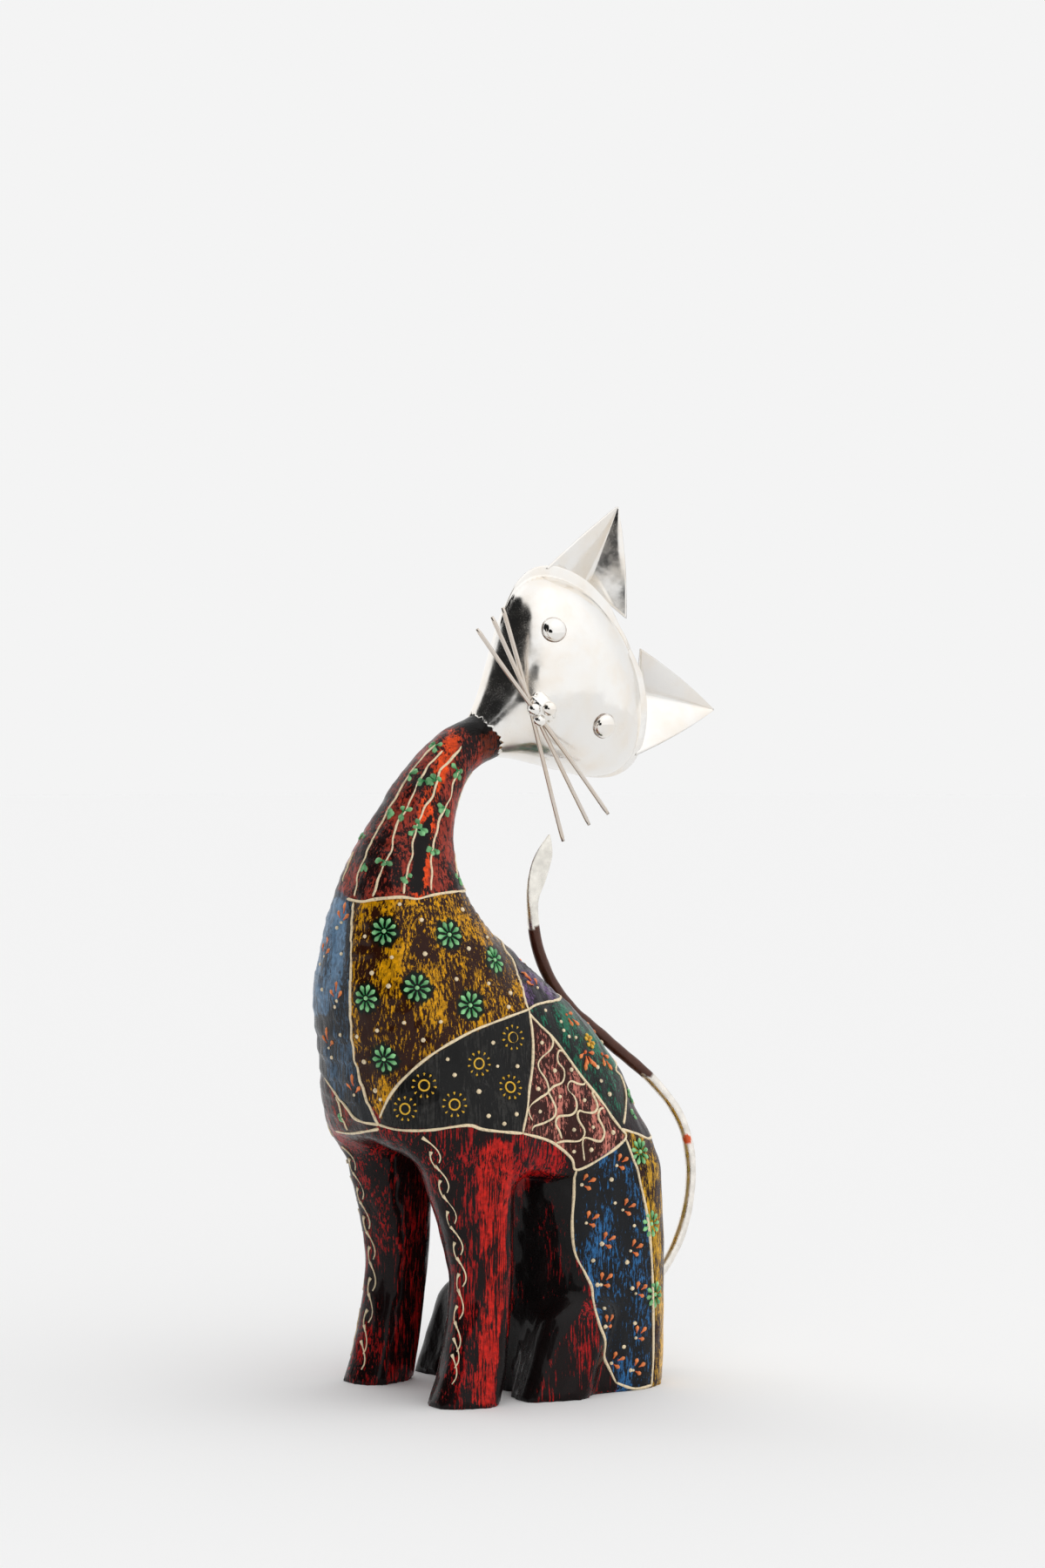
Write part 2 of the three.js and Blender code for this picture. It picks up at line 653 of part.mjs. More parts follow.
// The origin is on the ground, under the middle of the box that holds the whole figure.
cat.updateMatrixWorld(true);
const box = new THREE.Box3().setFromObject(cat);
cat.position.set(-(box.min.x + box.max.x) / 2, -(box.min.y + box.max.y) / 2, -box.min.z);

export default cat;
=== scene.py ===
"""Looks of the painted wooden cat with its metal head and tail.

The body is skinned finely from the same field as the CAD solid. The painter's raised line work and flowers
are laid on it as meshes, and the metal is rebuilt with its rims, folds and jagged collar. Everything is
drawn in millimetres on the CAD model's own design axes, and moved as it becomes a mesh.
"""

import math

import bmesh
import bpy
import numpy as np
from mathutils import Matrix, Vector


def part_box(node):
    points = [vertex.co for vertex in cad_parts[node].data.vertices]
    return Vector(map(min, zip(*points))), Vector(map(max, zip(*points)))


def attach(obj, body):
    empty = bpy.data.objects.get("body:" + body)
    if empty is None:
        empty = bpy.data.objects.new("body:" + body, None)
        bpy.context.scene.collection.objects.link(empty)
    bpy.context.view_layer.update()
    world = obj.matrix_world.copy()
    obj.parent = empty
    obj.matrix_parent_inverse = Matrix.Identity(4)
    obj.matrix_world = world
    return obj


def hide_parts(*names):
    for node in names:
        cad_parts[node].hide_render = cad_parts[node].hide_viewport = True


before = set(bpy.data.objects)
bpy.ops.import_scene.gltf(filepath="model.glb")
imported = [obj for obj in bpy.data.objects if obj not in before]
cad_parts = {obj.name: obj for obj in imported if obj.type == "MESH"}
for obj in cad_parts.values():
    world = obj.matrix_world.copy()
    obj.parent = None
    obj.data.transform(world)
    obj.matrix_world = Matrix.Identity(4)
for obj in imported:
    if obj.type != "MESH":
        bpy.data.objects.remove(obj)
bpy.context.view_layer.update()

MM = 0.001
rng = np.random.default_rng(7)

# Body, as in the CAD model: stations of the trunk as y, z, half depth and half width
NECK_END = (-8.7, 238.8)
TRUNK = np.array([
    (-8.7, 238.8, 8.7, 8.7),
    (-22, 232, 9.2, 9.8),
    (-32, 220, 11.2, 12.5),
    (-38.8, 205, 14.5, 16),
    (-42.8, 190, 19.6, 21.5),
    (-43.5, 174, 24.8, 28),
    (-41, 158, 31, 33.5),
    (-38, 142, 34.5, 37),
    (-29, 125, 43.5, 39.5),
    (-15.5, 107, 50.5, 40.5),
    (-3, 90, 52, 40.5),
])
TRUNK_SQUARENESS, NECK_SQUARENESS = 2.5, 2
WITHERS = dict(centre=(0, -18, 139), radii=(28, 29, 27.5), blend=10)
BELLY_SLOPE = ((-30, 93), (-2, 79))
BELLY_ROUND = 8
HAUNCH = dict(y=23, depth=32.5, width=40, top=92, squareness=3.2, waist=34, taper=0.03)
HAUNCH_BLEND, BLEND_LOW, BLEND_HIGH, LEAST_BLEND = 14, 74, 98, 0.05
# Stations of a front leg as x, y, z, half depth and half width
FRONT_LEG = np.array([
    (26.5, -31.5, 112, 23, 14),
    (27.5, -32.5, 94, 20, 13),
    (28, -31.5, 78, 16, 12),
    (28.8, -29.3, 61, 13, 11),
    (29.6, -28, 42, 11.3, 9.8),
    (30.3, -29.8, 28, 11.3, 9.8),
    (30.6, -32.8, 14, 12, 10.2),
    (30.6, -37.5, -6, 13, 10.8),
])
LEG_TURN, LEG_SQUARENESS, LEG_BLEND = 0.3, 2.8, 12
HIND_FOOT = dict(x=34, y=-1.5, z=14, length=13.5, width=10.5, height=20, round=7, turn=0.22, lean=0.36)
FOOT_BLEND = 5
KNEE_HOLLOW = dict(centre=(44, -15, 47), radii=(24, 18, 22), blend=12)
BODY_CELL = 1.2
BODY_ROOM = ((-57.6, -86.4, -6), (57.6, 69.6, 252))

# Head, along its own axes: stations as up, half width, front and back
HEAD_LEAN = math.radians(60.5)
HEAD = np.array([
    (0, 8.9, 8.9, 8.9),
    (7, 14, 13.5, 10.5),
    (14, 20.5, 18, 12),
    (22, 28, 21, 13),
    (30, 35, 22.5, 13.5),
    (38, 39.5, 22.5, 13.5),
    (46, 40, 21, 12.5),
    (53, 36.5, 18, 11),
    (59, 30.5, 14, 8.5),
    (64, 22.5, 9.5, 5.5),
    (67.5, 12, 4.5, 2.5),
])
RIM_WIDTH, RIM_START_UP, RIM_FULL_UP = 3.2, 10, 60
EAR = dict(outer=(53, 40), inner=(74.5, 6.5), tip=(93, 44), fold=(70.5, 23.5), fold_out=-7, edge_out=3)
FACE_SHIFT = -4
EYE = dict(up=36, left=20.3, radius=4.4, height=2.9)
MUZZLE = dict(up=14, out=23.5, radius=4.6, stretch=1.35)
BEADS = [(14.5, 0, 28.3, 2.7), (10, -2.3, 26.2, 2.3), (10, 2.3, 26.2, 2.3)]
WHISKERS = [("upper", 19, 0), ("middle", 12, 11), ("lower", 4, 19)]
WHISKER_RADIUS, WHISKER_REACH, WHISKER_OUT, GAP = 0.8, 43.5, 20.6, 0.3

# Tail: stations as x, y, z, half width in the plane of the bend and half thickness
TAIL = np.array([
    (0, 47, 22, 2, 2),
    (0, 58, 27, 2, 2),
    (0, 71, 37.5, 2, 2),
    (0, 80, 54, 2, 2),
    (-1, 83.6, 74, 2, 2),
    (-3, 80.4, 92, 2, 2),
    (-7, 70.4, 107, 2.1, 2.1),
    (-11, 52.9, 122.5, 2.2, 2.2),
    (-13, 34.1, 139, 2.3, 2.2),
    (-12, 23, 157, 2.3, 2.1),
    (-10, 18.8, 175, 2.5, 1.6),
    (-9, 20.8, 187, 4.1, 0.9),
    (-8, 23.2, 195, 3.2, 0.7),
    (-8, 25.0, 201.2, 0.4, 0.4),
])

# The photograph's frame in pixels, and where its camera stands on the design axes
PHOTO_WIDTH, PHOTO_HEIGHT = 1200, 1800
FOCAL_PX = 5678
CAMERA_AZIMUTH, CAMERA_ELEVATION = math.radians(58), math.radians(3)
CAMERA_DISTANCE = 1800
CAMERA_TARGET = np.array((13.35, -0.12, 221.61))
# How far before the camera's target, or from the plane y = 0, a ray starts, and how far it is followed
NEAR_START, NEAR_REACH = 130, 300
BACK_START, FRONT_START, LEVEL_REACH = 80, -90, 160


# Small mathematics

# Less than this is nothing, where a length divides
TINY = 1e-9


def stations_at(stations, t):
    """Smooth interpolation through stations at places t, from 0 to 1."""
    place = np.clip(np.asarray(t, float), 0, 1) * (len(stations) - 1)
    i = np.minimum(place.astype(int), len(stations) - 2)
    f = (place - i)[..., None]
    a, b, c, d = (stations[np.clip(i + k, 0, len(stations) - 1)] for k in (-1, 0, 1, 2))
    return b + 0.5 * f * (c - a + f * (2 * a - 5 * b + 4 * c - d + f * (3 * (b - c) + d - a)))


def smooth_min(a, b, blend):
    h = np.maximum(blend - np.abs(a - b), 0) / blend
    return np.minimum(a, b) - h * h * blend / 4


def smooth_max(a, b, blend):
    return -smooth_min(-a, -b, blend)


def smoothstep(value, low, high):
    t = np.clip((value - low) / (high - low), 0, 1)
    return t * t * (3 - 2 * t)


def unit(vectors):
    return vectors / np.maximum(np.linalg.norm(vectors, axis=-1, keepdims=True), TINY)


WAVES = 6


def waves(points, wavelength, seed):
    """Smooth wandering values of about -1 to 1 over points, from a few crossed sine waves."""
    source = np.random.default_rng(seed)
    ways = unit(source.normal(size=(WAVES, 3))) * (2 * math.pi / wavelength)
    ways = ways * source.uniform(0.6, 1.4, (WAVES, 1))
    phases = source.uniform(0, 2 * math.pi, WAVES)
    return np.sin(points @ ways.T + phases).sum(-1) / 3


def smooth_path(points, spacing=1.0):
    """Points spaced evenly along a smooth curve through a few given ones."""
    points = np.asarray(points, float)
    dense = stations_at(points, np.linspace(0, 1, 24 * len(points)))
    along = np.concatenate([[0], np.cumsum(np.linalg.norm(np.diff(dense, axis=0), axis=1))])
    wanted = np.linspace(0, along[-1], max(3, int(along[-1] / spacing) + 1))
    return np.stack([np.interp(wanted, along, dense[:, k]) for k in range(dense.shape[1])], axis=1)


# The carved body as a field, negative inside the wood, over arrays that broadcast together

TRUNK_LINE = stations_at(TRUNK, np.linspace(0, 1, 41))


def section_distance(across, along, width, depth, squareness):
    reach = (np.abs(across / width) ** squareness + np.abs(along / depth) ** squareness) ** (1 / squareness)
    return (reach - 1) * np.minimum(width, depth)


def nearest_on_trunk(y, z):
    """The distance of places in the middle plane from the trunk's line, and their share along it."""
    start, step = TRUNK_LINE[:-1, :2], np.diff(TRUNK_LINE[:, :2], axis=0)
    dy, dz = np.asarray(y)[..., None] - start[:, 0], np.asarray(z)[..., None] - start[:, 1]
    share = np.clip((dy * step[:, 0] + dz * step[:, 1]) / (step**2).sum(1), 0, 1)
    away = np.hypot(dy - share * step[:, 0], dz - share * step[:, 1])
    best = away.argmin(-1)[..., None]
    t = (best + np.take_along_axis(share, best, -1)) / len(step)
    return np.take_along_axis(away, best, -1)[..., 0], t[..., 0]


def trunk_field(x, y, z):
    away, t = nearest_on_trunk(*np.broadcast_arrays(y, z))
    place = t * (len(TRUNK_LINE) - 1)
    i = np.minimum(place.astype(int), len(TRUNK_LINE) - 2)
    station = TRUNK_LINE[i] + (place - i)[..., None] * (TRUNK_LINE[i + 1] - TRUNK_LINE[i])
    squareness = NECK_SQUARENESS + (TRUNK_SQUARENESS - NECK_SQUARENESS) * np.minimum(1, 2 * t)
    side = section_distance(x, away, station[..., 3], station[..., 2], squareness)
    (y0, z0), (y1, z1) = BELLY_SLOPE
    belly = np.clip(z0 + (y - y0) * (z1 - z0) / (y1 - y0), z1, z0)
    return smooth_max(side, belly - z, BELLY_ROUND)


def haunch_field(x, y, z):
    h = HAUNCH
    shrink = 1 - h["taper"] * (2 * (z - h["waist"]) / h["top"]) ** 2
    side = section_distance(x, y - h["y"], h["width"] * shrink, h["depth"] * shrink, h["squareness"])
    return smooth_max(side, z - h["top"], HAUNCH_BLEND)


def front_leg_field(x, y, z):
    top, bottom = FRONT_LEG[0, 2], FRONT_LEG[-1, 2]
    s = stations_at(FRONT_LEG, (top - z) / (top - bottom))
    c, n = math.cos(LEG_TURN), math.sin(LEG_TURN)
    dx, dy = x - s[..., 0], y - s[..., 1]
    side = section_distance(c * dx - n * dy, n * dx + c * dy, s[..., 4], s[..., 3], LEG_SQUARENESS)
    return smooth_max(side, z - top, LEG_BLEND)


def hind_foot_field(x, y, z):
    f = HIND_FOOT
    c, n = math.cos(f["turn"]), math.sin(f["turn"])
    dx, dy = x - f["x"], y - f["y"] - f["lean"] * z
    a = np.abs(c * dx - n * dy) - f["width"] + f["round"]
    b = np.abs(n * dx + c * dy) - f["length"] + f["round"]
    d = np.abs(z - f["z"]) - f["height"] + f["round"]
    outside = np.sqrt(np.maximum(a, 0) ** 2 + np.maximum(b, 0) ** 2 + np.maximum(d, 0) ** 2)
    return outside + np.minimum(np.maximum(np.maximum(a, b), d), 0) - f["round"]


def ellipsoid_distance(x, y, z, form):
    (cx, cy, cz), (rx, ry, rz) = form["centre"], form["radii"]
    reach = np.sqrt(((x - cx) / rx) ** 2 + ((y - cy) / ry) ** 2 + ((z - cz) / rz) ** 2)
    return (reach - 1) * min(rx, ry, rz)


def body_field(x, y, z):
    x = np.abs(x)
    front = smooth_min(trunk_field(x, y, z), front_leg_field(x, y, z), LEG_BLEND)
    hollow = ellipsoid_distance(x, y, z, KNEE_HOLLOW)
    thigh = smooth_max(haunch_field(x, y, z), -hollow, KNEE_HOLLOW["blend"])
    rear = smooth_min(thigh, hind_foot_field(x, y, z), FOOT_BLEND)
    blend = HAUNCH_BLEND * np.maximum(smoothstep(z, BLEND_LOW, BLEND_HIGH), LEAST_BLEND)
    withers = ellipsoid_distance(x, y, z, WITHERS)
    return smooth_min(smooth_min(front, rear, blend), withers, WITHERS["blend"])


SLOPE_STEP, LEAST_STEEPNESS, LONGEST_MOVE = 0.5, 0.1, 2
RAY_STEP, HALVINGS = 2, 14


def field_of(points):
    return body_field(points[..., 0], points[..., 1], points[..., 2])


def slope_of(points):
    steps = np.eye(3) * SLOPE_STEP
    rises = [field_of(points + step) - field_of(points - step) for step in steps]
    return np.stack(rises, axis=-1) / (2 * SLOPE_STEP)


def settle(points, rounds):
    """Moves points near the skin onto it."""
    for _ in range(rounds):
        slope = slope_of(points)
        steepness = np.maximum((slope**2).sum(-1, keepdims=True), LEAST_STEEPNESS)
        move = -field_of(points)[..., None] * slope / steepness
        length = np.linalg.norm(move, axis=-1, keepdims=True)
        points = points + move * np.minimum(1, LONGEST_MOVE / np.maximum(length, TINY))
    return points


def cast(origin, direction, reach):
    """Where rays, as rows, first meet the skin within reach. A ray that misses gives a row of nan."""
    steps = np.linspace(0, reach, int(reach / RAY_STEP))
    values = field_of(origin[:, None] + direction[:, None] * steps[None, :, None])
    first = (values < 0).argmax(1)
    low, high = steps[np.maximum(first - 1, 0)], steps[first]
    for _ in range(HALVINGS):
        middle = (low + high) / 2
        inside = field_of(origin + direction * middle[:, None]) < 0
        low, high = np.where(inside, low, middle), np.where(inside, middle, high)
    found = origin + direction * high[:, None]
    found[first == 0] = np.nan
    return found


# Skin of a field, one point for each crossed cell and one quad round each crossed edge

CELL_CORNERS = np.array([(c & 1, (c >> 1) & 1, (c >> 2) & 1) for c in range(8)])
CELL_EDGES = [(a, a | bit) for a in range(8) for bit in (1, 2, 4) if not a & bit]


def crossed_cells(inside):
    """The cells that the skin passes through, and their numbers on the grid."""
    counted = np.zeros([n - 1 for n in inside.shape], np.int8)
    for corner in CELL_CORNERS:
        counted += inside[tuple(slice(c, n - 1 + c) for c, n in zip(corner, inside.shape))]
    cells = np.argwhere((counted > 0) & (counted < len(CELL_CORNERS)))
    index = np.full(counted.shape, -1, np.int32)
    index[tuple(cells.T)] = np.arange(len(cells))
    return cells, index


def cell_points(values, cells):
    """The middle of the places where the skin crosses each cell's edges, in cells."""
    corners = np.stack([values[tuple((cells + corner).T)] for corner in CELL_CORNERS])
    total, crossed = np.zeros((len(cells), 3)), np.zeros(len(cells))
    for a, b in CELL_EDGES:
        hit = (corners[a] < 0) != (corners[b] < 0)
        share = np.where(hit, corners[a] / np.where(hit, corners[a] - corners[b], 1), 0)
        place = CELL_CORNERS[a] + share[:, None] * (CELL_CORNERS[b] - CELL_CORNERS[a])
        total += place * hit[:, None]
        crossed += hit
    return cells + total / crossed[:, None]


def edge_quads(inside, index, axis):
    """A quad round each crossed edge that runs along an axis."""
    step = np.eye(3, dtype=int)
    u, v = step[(axis + 1) % 3], step[(axis + 2) % 3]
    first = inside[tuple(slice(0, -1) if k == axis else slice(1, -1) for k in range(3))]
    second = inside[tuple(slice(1, None) if k == axis else slice(1, -1) for k in range(3))]
    edges = np.argwhere(first != second) + 1 - step[axis]
    leaving = inside[tuple(edges.T)]
    quads = np.stack([index[tuple(p.T)] for p in (edges, edges - u, edges - u - v, edges - v)], axis=1)
    quads[~leaving] = quads[~leaving][:, ::-1]
    return quads


def skin(low, high, cell):
    axes = [np.arange(l, h + cell, cell) for l, h in zip(low, high)]
    x, y, z = axes[0][:, None, None], axes[1][None, :, None], axes[2][None, None, :]
    values = np.maximum(body_field(x, y, z), -z)
    inside = values < 0
    cells, index = crossed_cells(inside)
    points = np.array([axis[0] for axis in axes]) + cell_points(values, cells) * cell
    return points, np.concatenate([edge_quads(inside, index, axis) for axis in range(3)])


# The photograph's view of the near side, in its pixels

def view_way(azimuth, elevation):
    """The way towards an azimuth, from -Y round to +X, and an elevation."""
    level = math.cos(elevation)
    return math.sin(azimuth) * level, -math.cos(azimuth) * level, math.sin(elevation)


def camera_axes():
    a, e = CAMERA_AZIMUTH, CAMERA_ELEVATION
    back = np.array(view_way(a, e))
    right = np.array((math.cos(a), math.sin(a), 0))
    return back, right, np.cross(back, right)


BACK, RIGHT, UPWARD = camera_axes()
CAMERA_PLACE = CAMERA_TARGET + BACK * CAMERA_DISTANCE


def pixels_of(points):
    away = points - CAMERA_PLACE
    depth = -(away @ BACK)
    return np.stack([
        PHOTO_WIDTH / 2 + FOCAL_PX * (away @ RIGHT) / depth,
        PHOTO_HEIGHT / 2 - FOCAL_PX * (away @ UPWARD) / depth,
    ], axis=-1)


def seen(*pixels):
    """Places on the skin that the photograph shows at these pixels."""
    u, v = np.array(pixels, float).T
    rightward = np.outer((u - PHOTO_WIDTH / 2) / FOCAL_PX, RIGHT)
    downward = np.outer((v - PHOTO_HEIGHT / 2) / FOCAL_PX, UPWARD)
    ways = unit(rightward - downward - BACK)
    found = cast(CAMERA_PLACE + ways * (CAMERA_DISTANCE - NEAR_START), ways, NEAR_REACH)
    return found[~np.isnan(found[:, 0])]


def along_depth(places, start):
    """Places on the skin met by level rays from a plane at y = start, given as x and z."""
    x, z = np.array(places, float).T
    origin = np.stack([x, np.full(len(x), float(start)), z], axis=1)
    return cast(origin, np.tile((0, -np.sign(start), 0), (len(x), 1)), LEVEL_REACH)


def behind(*places):
    """Places on the back of the skin, given as x and z."""
    return along_depth(places, BACK_START)


def ahead(*places):
    """Places on the front of the skin, given as x and z."""
    return along_depth(places, FRONT_START)


# Painted fields, outlined in the photograph's pixels. Each side of the cat is painted alike, so they are
# drawn for the near side, and run on past its edge as if the back were unrolled there.

# How far right the unrolled back runs, and the height of the bands in which its edge is found
UNROLLED, EDGE_BAND = 900, 4
RING = [
    (385, 1019), (399, 1032), (415, 1035), (433, 1032), (463, 1030), (479, 1032), (495, 1028),
    (533, 1023),
]
CHEST_SEAM = [
    (406, 1036), (404, 1069), (403, 1121), (402, 1148), (405, 1198), (409, 1222), (419, 1257),
    (435, 1291),
]
SHOULDER_SEAM = [(436, 1283), (443, 1267), (459, 1243), (494, 1212), (538, 1186), (577, 1170), (607, 1159)]
SPINE_SEAM = [(579, 1089), (589, 1103), (597, 1125), (603, 1148), (607, 1159)]
SADDLE_SEAM = [(607, 1159), (617, 1153), (640, 1148)]
LOIN_SEAM = [(607, 1159), (612, 1198), (611, 1227), (607, 1257), (603, 1287), (600, 1301)]
RUMP_SEAM = [(607, 1163), (621, 1178), (637, 1194), (665, 1232), (688, 1261), (713, 1296)]
HIP_SEAM = [(707, 1228), (713, 1236), (719, 1258), (716, 1290)]
CROUP_SEAM = [(713, 1296), (730, 1301), (745, 1307)]
THIGH_SEAM = [
    (713, 1296), (718, 1307), (688, 1331), (662, 1343), (657, 1331), (646, 1320), (629, 1309),
    (600, 1301),
]
BELLY_SEAM = [
    (435, 1291), (451, 1296), (474, 1298), (498, 1297), (518, 1294), (540, 1292), (557, 1297),
    (600, 1301),
]
PANEL_FRONT = [
    (662, 1343), (659, 1370), (657, 1405), (660, 1437), (672, 1462), (680, 1481), (686, 1513),
    (694, 1551), (707, 1587),
]
PANEL_BACK = [
    (718, 1307), (729, 1335), (735, 1357), (743, 1395), (748, 1443), (750, 1507), (750, 1555),
    (748, 1590),
]
APRON_SEAM = [(373, 1237), (385, 1255), (399, 1273), (409, 1285), (435, 1291)]
APRON_FOLD = [(386, 1259), (392, 1280), (399, 1297)]
APRON_HEM = [(386, 1298), (401, 1301), (419, 1299), (435, 1296)]
PANEL_FOOT = [(707, 1587), (728, 1594), (748, 1590)]
BRIGHT_STRIP = [(520, 845), (507, 880), (497, 905), (490, 928), (489, 965), (485, 990), (481, 1022)]
BRIGHT_STRIP_HALF_WIDTH = 9
# The far edge of the chest's field, as x and z
FAR_CHEST = [(-19, 187), (-25, 172), (-30, 155), (-33, 138), (-34, 120), (-33, 104), (-29, 92)]

FIELDS = {
    "chest": [(250, 1000), *RING[:1], *CHEST_SEAM, (435, 1302), (250, 1302)],
    "yellow": [
        *CHEST_SEAM[:-1], *SHOULDER_SEAM, *SPINE_SEAM[::-1], (UNROLLED, 1086), (UNROLLED, 1015),
        *RING[:2:-1],
    ],
    "black": [*SHOULDER_SEAM, *LOIN_SEAM, *BELLY_SEAM[::-1]],
    "pink": [*LOIN_SEAM, *THIGH_SEAM[::-1], *RUMP_SEAM[::-1]],
    "green": [*SADDLE_SEAM, (UNROLLED, 1143), (UNROLLED, 1232), *HIP_SEAM, *RUMP_SEAM[::-1]],
    "dusk": [*HIP_SEAM, *CROUP_SEAM, (UNROLLED, 1309), (UNROLLED, 1232)],
    "purple": [*SPINE_SEAM, *SADDLE_SEAM, (UNROLLED, 1143), (UNROLLED, 1086)],
    "panel": [*PANEL_FRONT, (707, 1650), (748, 1650), *PANEL_BACK[::-1], *THIGH_SEAM[2:4]],
    "ochre": [*CROUP_SEAM, (UNROLLED, 1309), (UNROLLED, 1650), (748, 1650), *PANEL_BACK[::-1]],
    "chest_blue": [
        (389, 1030), (399, 1038), (396, 1085), (391, 1140), (377, 1165), (340, 1165), (340, 1040),
    ],
    "neck_dark": [(481, 950), (495, 936), (492, 962), (487, 990), (483, 1026), (469, 1026), (475, 990)],
    "leg_bright": [
        (556, 1303), (588, 1312), (590, 1345), (582, 1400), (578, 1480), (572, 1560), (563, 1612),
        (540, 1612), (548, 1560), (556, 1480), (552, 1400), (548, 1350),
    ],
    "belly_bright": [
        (594, 1305), (629, 1310), (646, 1321), (656, 1342), (640, 1352), (612, 1362), (594, 1375),
    ],
    "hollow": [
        (594, 1375), (612, 1362), (640, 1352), (657, 1352), (655, 1400), (657, 1437), (668, 1470),
        (672, 1488), (640, 1492), (618, 1496), (600, 1520), (588, 1550),
    ],
    "shin": [
        (592, 1500), (640, 1488), (673, 1487), (664, 1510), (640, 1542), (622, 1582), (612, 1610),
        (570, 1612), (574, 1570),
    ],
}

LEG_FIELD_TOP, LEG_FIELD_BACK = 92, -11
LEG_FIELDS = ("leg_bright", "belly_bright", "hollow", "shin", "chest", "black")

# Ground and fleck colours of each field, how much of it the flecks cover, and how long its streaks are
COLOURS = {
    "neck": ((0.012, 0.004, 0.004), (0.36, 0.040, 0.022), 0.42, 0.2),
    "neck_dark": ((0.004, 0.002, 0.002), (0.20, 0.018, 0.010), 0.15, 0.3),
    "bright": ((0.014, 0.003, 0.002), (0.86, 0.075, 0.008), 0.50, 0.3),
    "bare": ((0.003, 0.002, 0.002), (0.04, 0.010, 0.006), 0.10, 0.0),
    "bare_red": ((0.006, 0.002, 0.002), (0.15, 0.022, 0.008), 0.42, 0.0),
    "chest": ((0.012, 0.014, 0.017), (0.060, 0.12, 0.20), 0.40, 0.6),
    "chest_blue": ((0.020, 0.030, 0.045), (0.11, 0.22, 0.36), 0.62, 0.8),
    "apron": ((0.012, 0.004, 0.004), (0.32, 0.035, 0.02), 0.42, 0.2),
    "yellow": ((0.028, 0.007, 0.003), (0.70, 0.32, 0.004), 0.38, 0.0),
    "halo": ((0.002, 0.008, 0.004), (0.008, 0.14, 0.035), 0.16, 0.0),
    "black": ((0.009, 0.009, 0.009), (0.030, 0.029, 0.027), 0.42, 0.8),
    "pink": ((0.034, 0.007, 0.005), (0.64, 0.21, 0.16), 0.36, 0.2),
    "green": ((0.008, 0.009, 0.009), (0.006, 0.17, 0.090), 0.42, 0.5),
    "dusk": ((0.010, 0.005, 0.007), (0.16, 0.02, 0.02), 0.30, 0.5),
    "purple": ((0.010, 0.007, 0.012), (0.15, 0.075, 0.21), 0.38, 0.6),
    "panel": ((0.009, 0.010, 0.012), (0.028, 0.14, 0.34), 0.35, 0.3),
    "ochre": ((0.026, 0.007, 0.004), (0.66, 0.35, 0.015), 0.44, 0.4),
    "legs": ((0.007, 0.003, 0.003), (0.40, 0.009, 0.009), 0.33, 1.0),
    "leg_bright": ((0.016, 0.002, 0.002), (0.56, 0.014, 0.008), 0.54, 1.0),
    "belly_bright": ((0.008, 0.001, 0.002), (0.44, 0.006, 0.006), 0.42, 0.6),
    "hollow": ((0.005, 0.004, 0.004), (0.26, 0.006, 0.008), 0.22, 0.8),
    "shin": ((0.007, 0.005, 0.005), (0.30, 0.006, 0.008), 0.12, 0.8),
}
COVER_WANDER, COVER_BAND = 0.10, 13


def inside_outline(places, outline):
    """Which places lie inside a closed outline."""
    inside = np.zeros(len(places), bool)
    u, v = places.T
    for (u0, v0), (u1, v1) in zip(outline, outline[1:] + outline[:1]):
        if v0 == v1:
            continue
        spans = (v0 > v) != (v1 > v)
        inside ^= spans & (u < u0 + (v - v0) * (u1 - u0) / (v1 - v0))
    return inside


def distance_to_line(places, line):
    best = np.full(len(places), np.inf)
    for start, end in zip(np.array(line[:-1], float), np.array(line[1:], float)):
        step = end - start
        share = np.clip((places - start) @ step / (step @ step), 0, 1)
        best = np.minimum(best, np.linalg.norm(places - start - share[:, None] * step, axis=1))
    return best


def unrolled(points, normals):
    """Pixels of points of the near half, with those on its hidden back unrolled past the edge."""
    places = pixels_of(points)
    last = PHOTO_HEIGHT // EDGE_BAND
    rows = np.clip((places[:, 1] / EDGE_BAND).astype(int), 0, last)
    edge = np.zeros(last + 1)
    np.maximum.at(edge, rows, places[:, 0])
    hidden = (normals @ BACK < 0) & (normals[:, 1] > 0)
    places[hidden, 0] = 2 * edge[rows[hidden]] - places[hidden, 0]
    return places


def on_far_chest(points, normals):
    """Which points of the far side are on the chest's field, which passes over the middle."""
    edge = np.interp(points[:, 2], *np.array(FAR_CHEST[::-1], float).T[::-1])
    return (points[:, 0] > edge) & (normals[:, 1] < 0) & (points[:, 2] > FAR_CHEST[-1][1])


def field_names(points, normals):
    turned = (points[:, :1] < 0) & ~on_far_chest(points, normals)[:, None]
    mirror = np.where(turned, (-1, 1, 1), (1, 1, 1))
    places = unrolled(points * mirror, normals * mirror)
    names = np.full(len(points), "legs", object)
    names[places[:, 1] < np.interp(places[:, 0], *np.array(RING).T)] = "neck"
    strip = distance_to_line(places, BRIGHT_STRIP) < BRIGHT_STRIP_HALF_WIDTH
    names[strip & (names == "neck")] = "bright"
    on_leg = (points[:, 2] < LEG_FIELD_TOP) & (points[:, 1] < LEG_FIELD_BACK)
    for name, outline in FIELDS.items():
        inside = inside_outline(places, outline)
        names[inside if name in LEG_FIELDS else inside & ~on_leg] = name
    below = places[:, 1] > np.interp(places[:, 0], *np.array(APRON_SEAM).T)
    names[below & (names == "chest")] = "apron"
    return names


# Raised paint: strokes with an oval section, half sunk in the skin, each with a tint that may change on it

